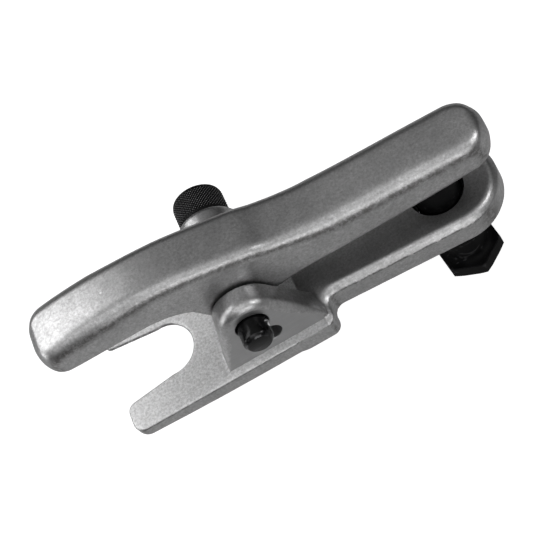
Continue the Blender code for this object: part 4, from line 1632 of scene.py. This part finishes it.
@dataclass
class Studio:
    """Pale floor, soft lights and the camera."""

    azimuth: float = 13.87
    elevation: float = 55.83
    roll: float = 41.62
    offset: tuple[float, float, float] = (-12.58, -3.58, -516.96)
    lens: float = 100.93
    sensor: float = 36.0
    floor_half: float = 3.0
    world_low: float = 0.015
    world_high: float = 0.40
    lights: tuple[SoftLight, ...] = (
        SoftLight("front_box", (0.12, -0.90, 0.36), 0.9, (0.62, 0.30), 2.7),
        SoftLight("top_box", (-0.14, -0.52, 0.84), 0.9, (0.80, 0.60), 0.9),
        SoftLight("nose_box", (-0.66, 0.34, 0.68), 0.9, (0.80, 0.60), 2.7),
        SoftLight("right_box", (0.72, -0.40, 0.57), 0.9, (0.24, 0.26), 8.0),
        SoftLight("left_box", (-0.96, -0.10, 0.20), 0.9, (0.36, 0.32), 3.6),
    )

    def build_floor(self, shop: Workshop) -> None:
        """Lay the floor where the tool stands.

        Args:
            shop: datum and finishes.
        """
        half, steps = self.floor_half, 12
        marks = [half * (2.0 * i / steps - 1.0) for i in range(steps + 1)]
        points = np.array([(x, y, 0.0) for y in marks for x in marks])
        row = steps + 1
        faces = [[j * row + i, j * row + i + 1, (j + 1) * row + i + 1, (j + 1) * row + i]
                 for j in range(steps) for i in range(steps)]
        mesh_piece("studio_floor", points, faces, shop.floor)

    def build_world(self) -> None:
        """Fill the room with dim light that grows brighter overhead."""
        world = bpy.data.worlds.new("studio_world")
        world.use_nodes = True
        bpy.context.scene.world = world
        graph = Graph(world.node_tree)
        background = world.node_tree.nodes["Background"]
        level = graph.spread(graph.along(Axis.Z, "Generated"), 0.30, 0.95, self.world_low,
                             self.world_high)
        seen = graph.node("ShaderNodeLightPath").outputs["Is Camera Ray"]
        unseen = graph.times(level, graph.minus(1.0, seen))
        graph.feed(background, "Color", graph.mix(seen, (1.0, 1.0, 1.0), (0.93, 0.93, 0.93)))
        graph.feed(background, "Strength", graph.plus(unseen, seen))

    def build_camera(self, datum: Datum) -> None:
        """Place the camera by its angles and the pin axis's place before it.

        Args:
            datum: the frame datum.
        """
        a, e, r = (math.radians(v) for v in (self.azimuth, self.elevation, self.roll))
        back = Vector((math.sin(a) * math.cos(e), -math.cos(a) * math.cos(e), math.sin(e)))
        right = Vector((math.cos(a), math.sin(a), 0.0))
        up = back.cross(right)
        rolled_right = right * math.cos(r) - up * math.sin(r)
        rolled_up = right * math.sin(r) + up * math.cos(r)
        turn = Matrix((rolled_right, rolled_up, back)).transposed()
        data = bpy.data.cameras.new("studio_camera")
        data.lens, data.sensor_width = self.lens, self.sensor
        data.clip_start, data.clip_end = 0.01, 20.0
        camera = bpy.data.objects.new("studio_camera", data)
        bpy.context.scene.collection.objects.link(camera)
        spot = datum.pin - (turn @ Vector(self.offset)) * MM
        camera.matrix_world = Matrix.Translation(spot) @ turn.to_4x4()
        bpy.context.scene.camera = camera

    def dress_up(self, shop: Workshop) -> None:
        """Build the floor, world, lights and camera."""
        self.build_floor(shop)
        self.build_world()
        for light in self.lights:
            light.build(shop.datum.pin)
        self.build_camera(shop.datum)
        bpy.context.scene.view_settings.view_transform = "Standard"


def main() -> None:
    """Build every sub-assembly in order."""
    logging.basicConfig(level=logging.INFO, format="%(name)s: %(message)s")
    shop = Workshop.open(frame["record"])
    for assembly in (LowerArm(), UpperLever(), ScrewSet(), PinSet(), Studio()):
        assembly.dress_up(shop)
        LOG.info("%s done", type(assembly).__name__)


if __name__ == "__main__":
    main()
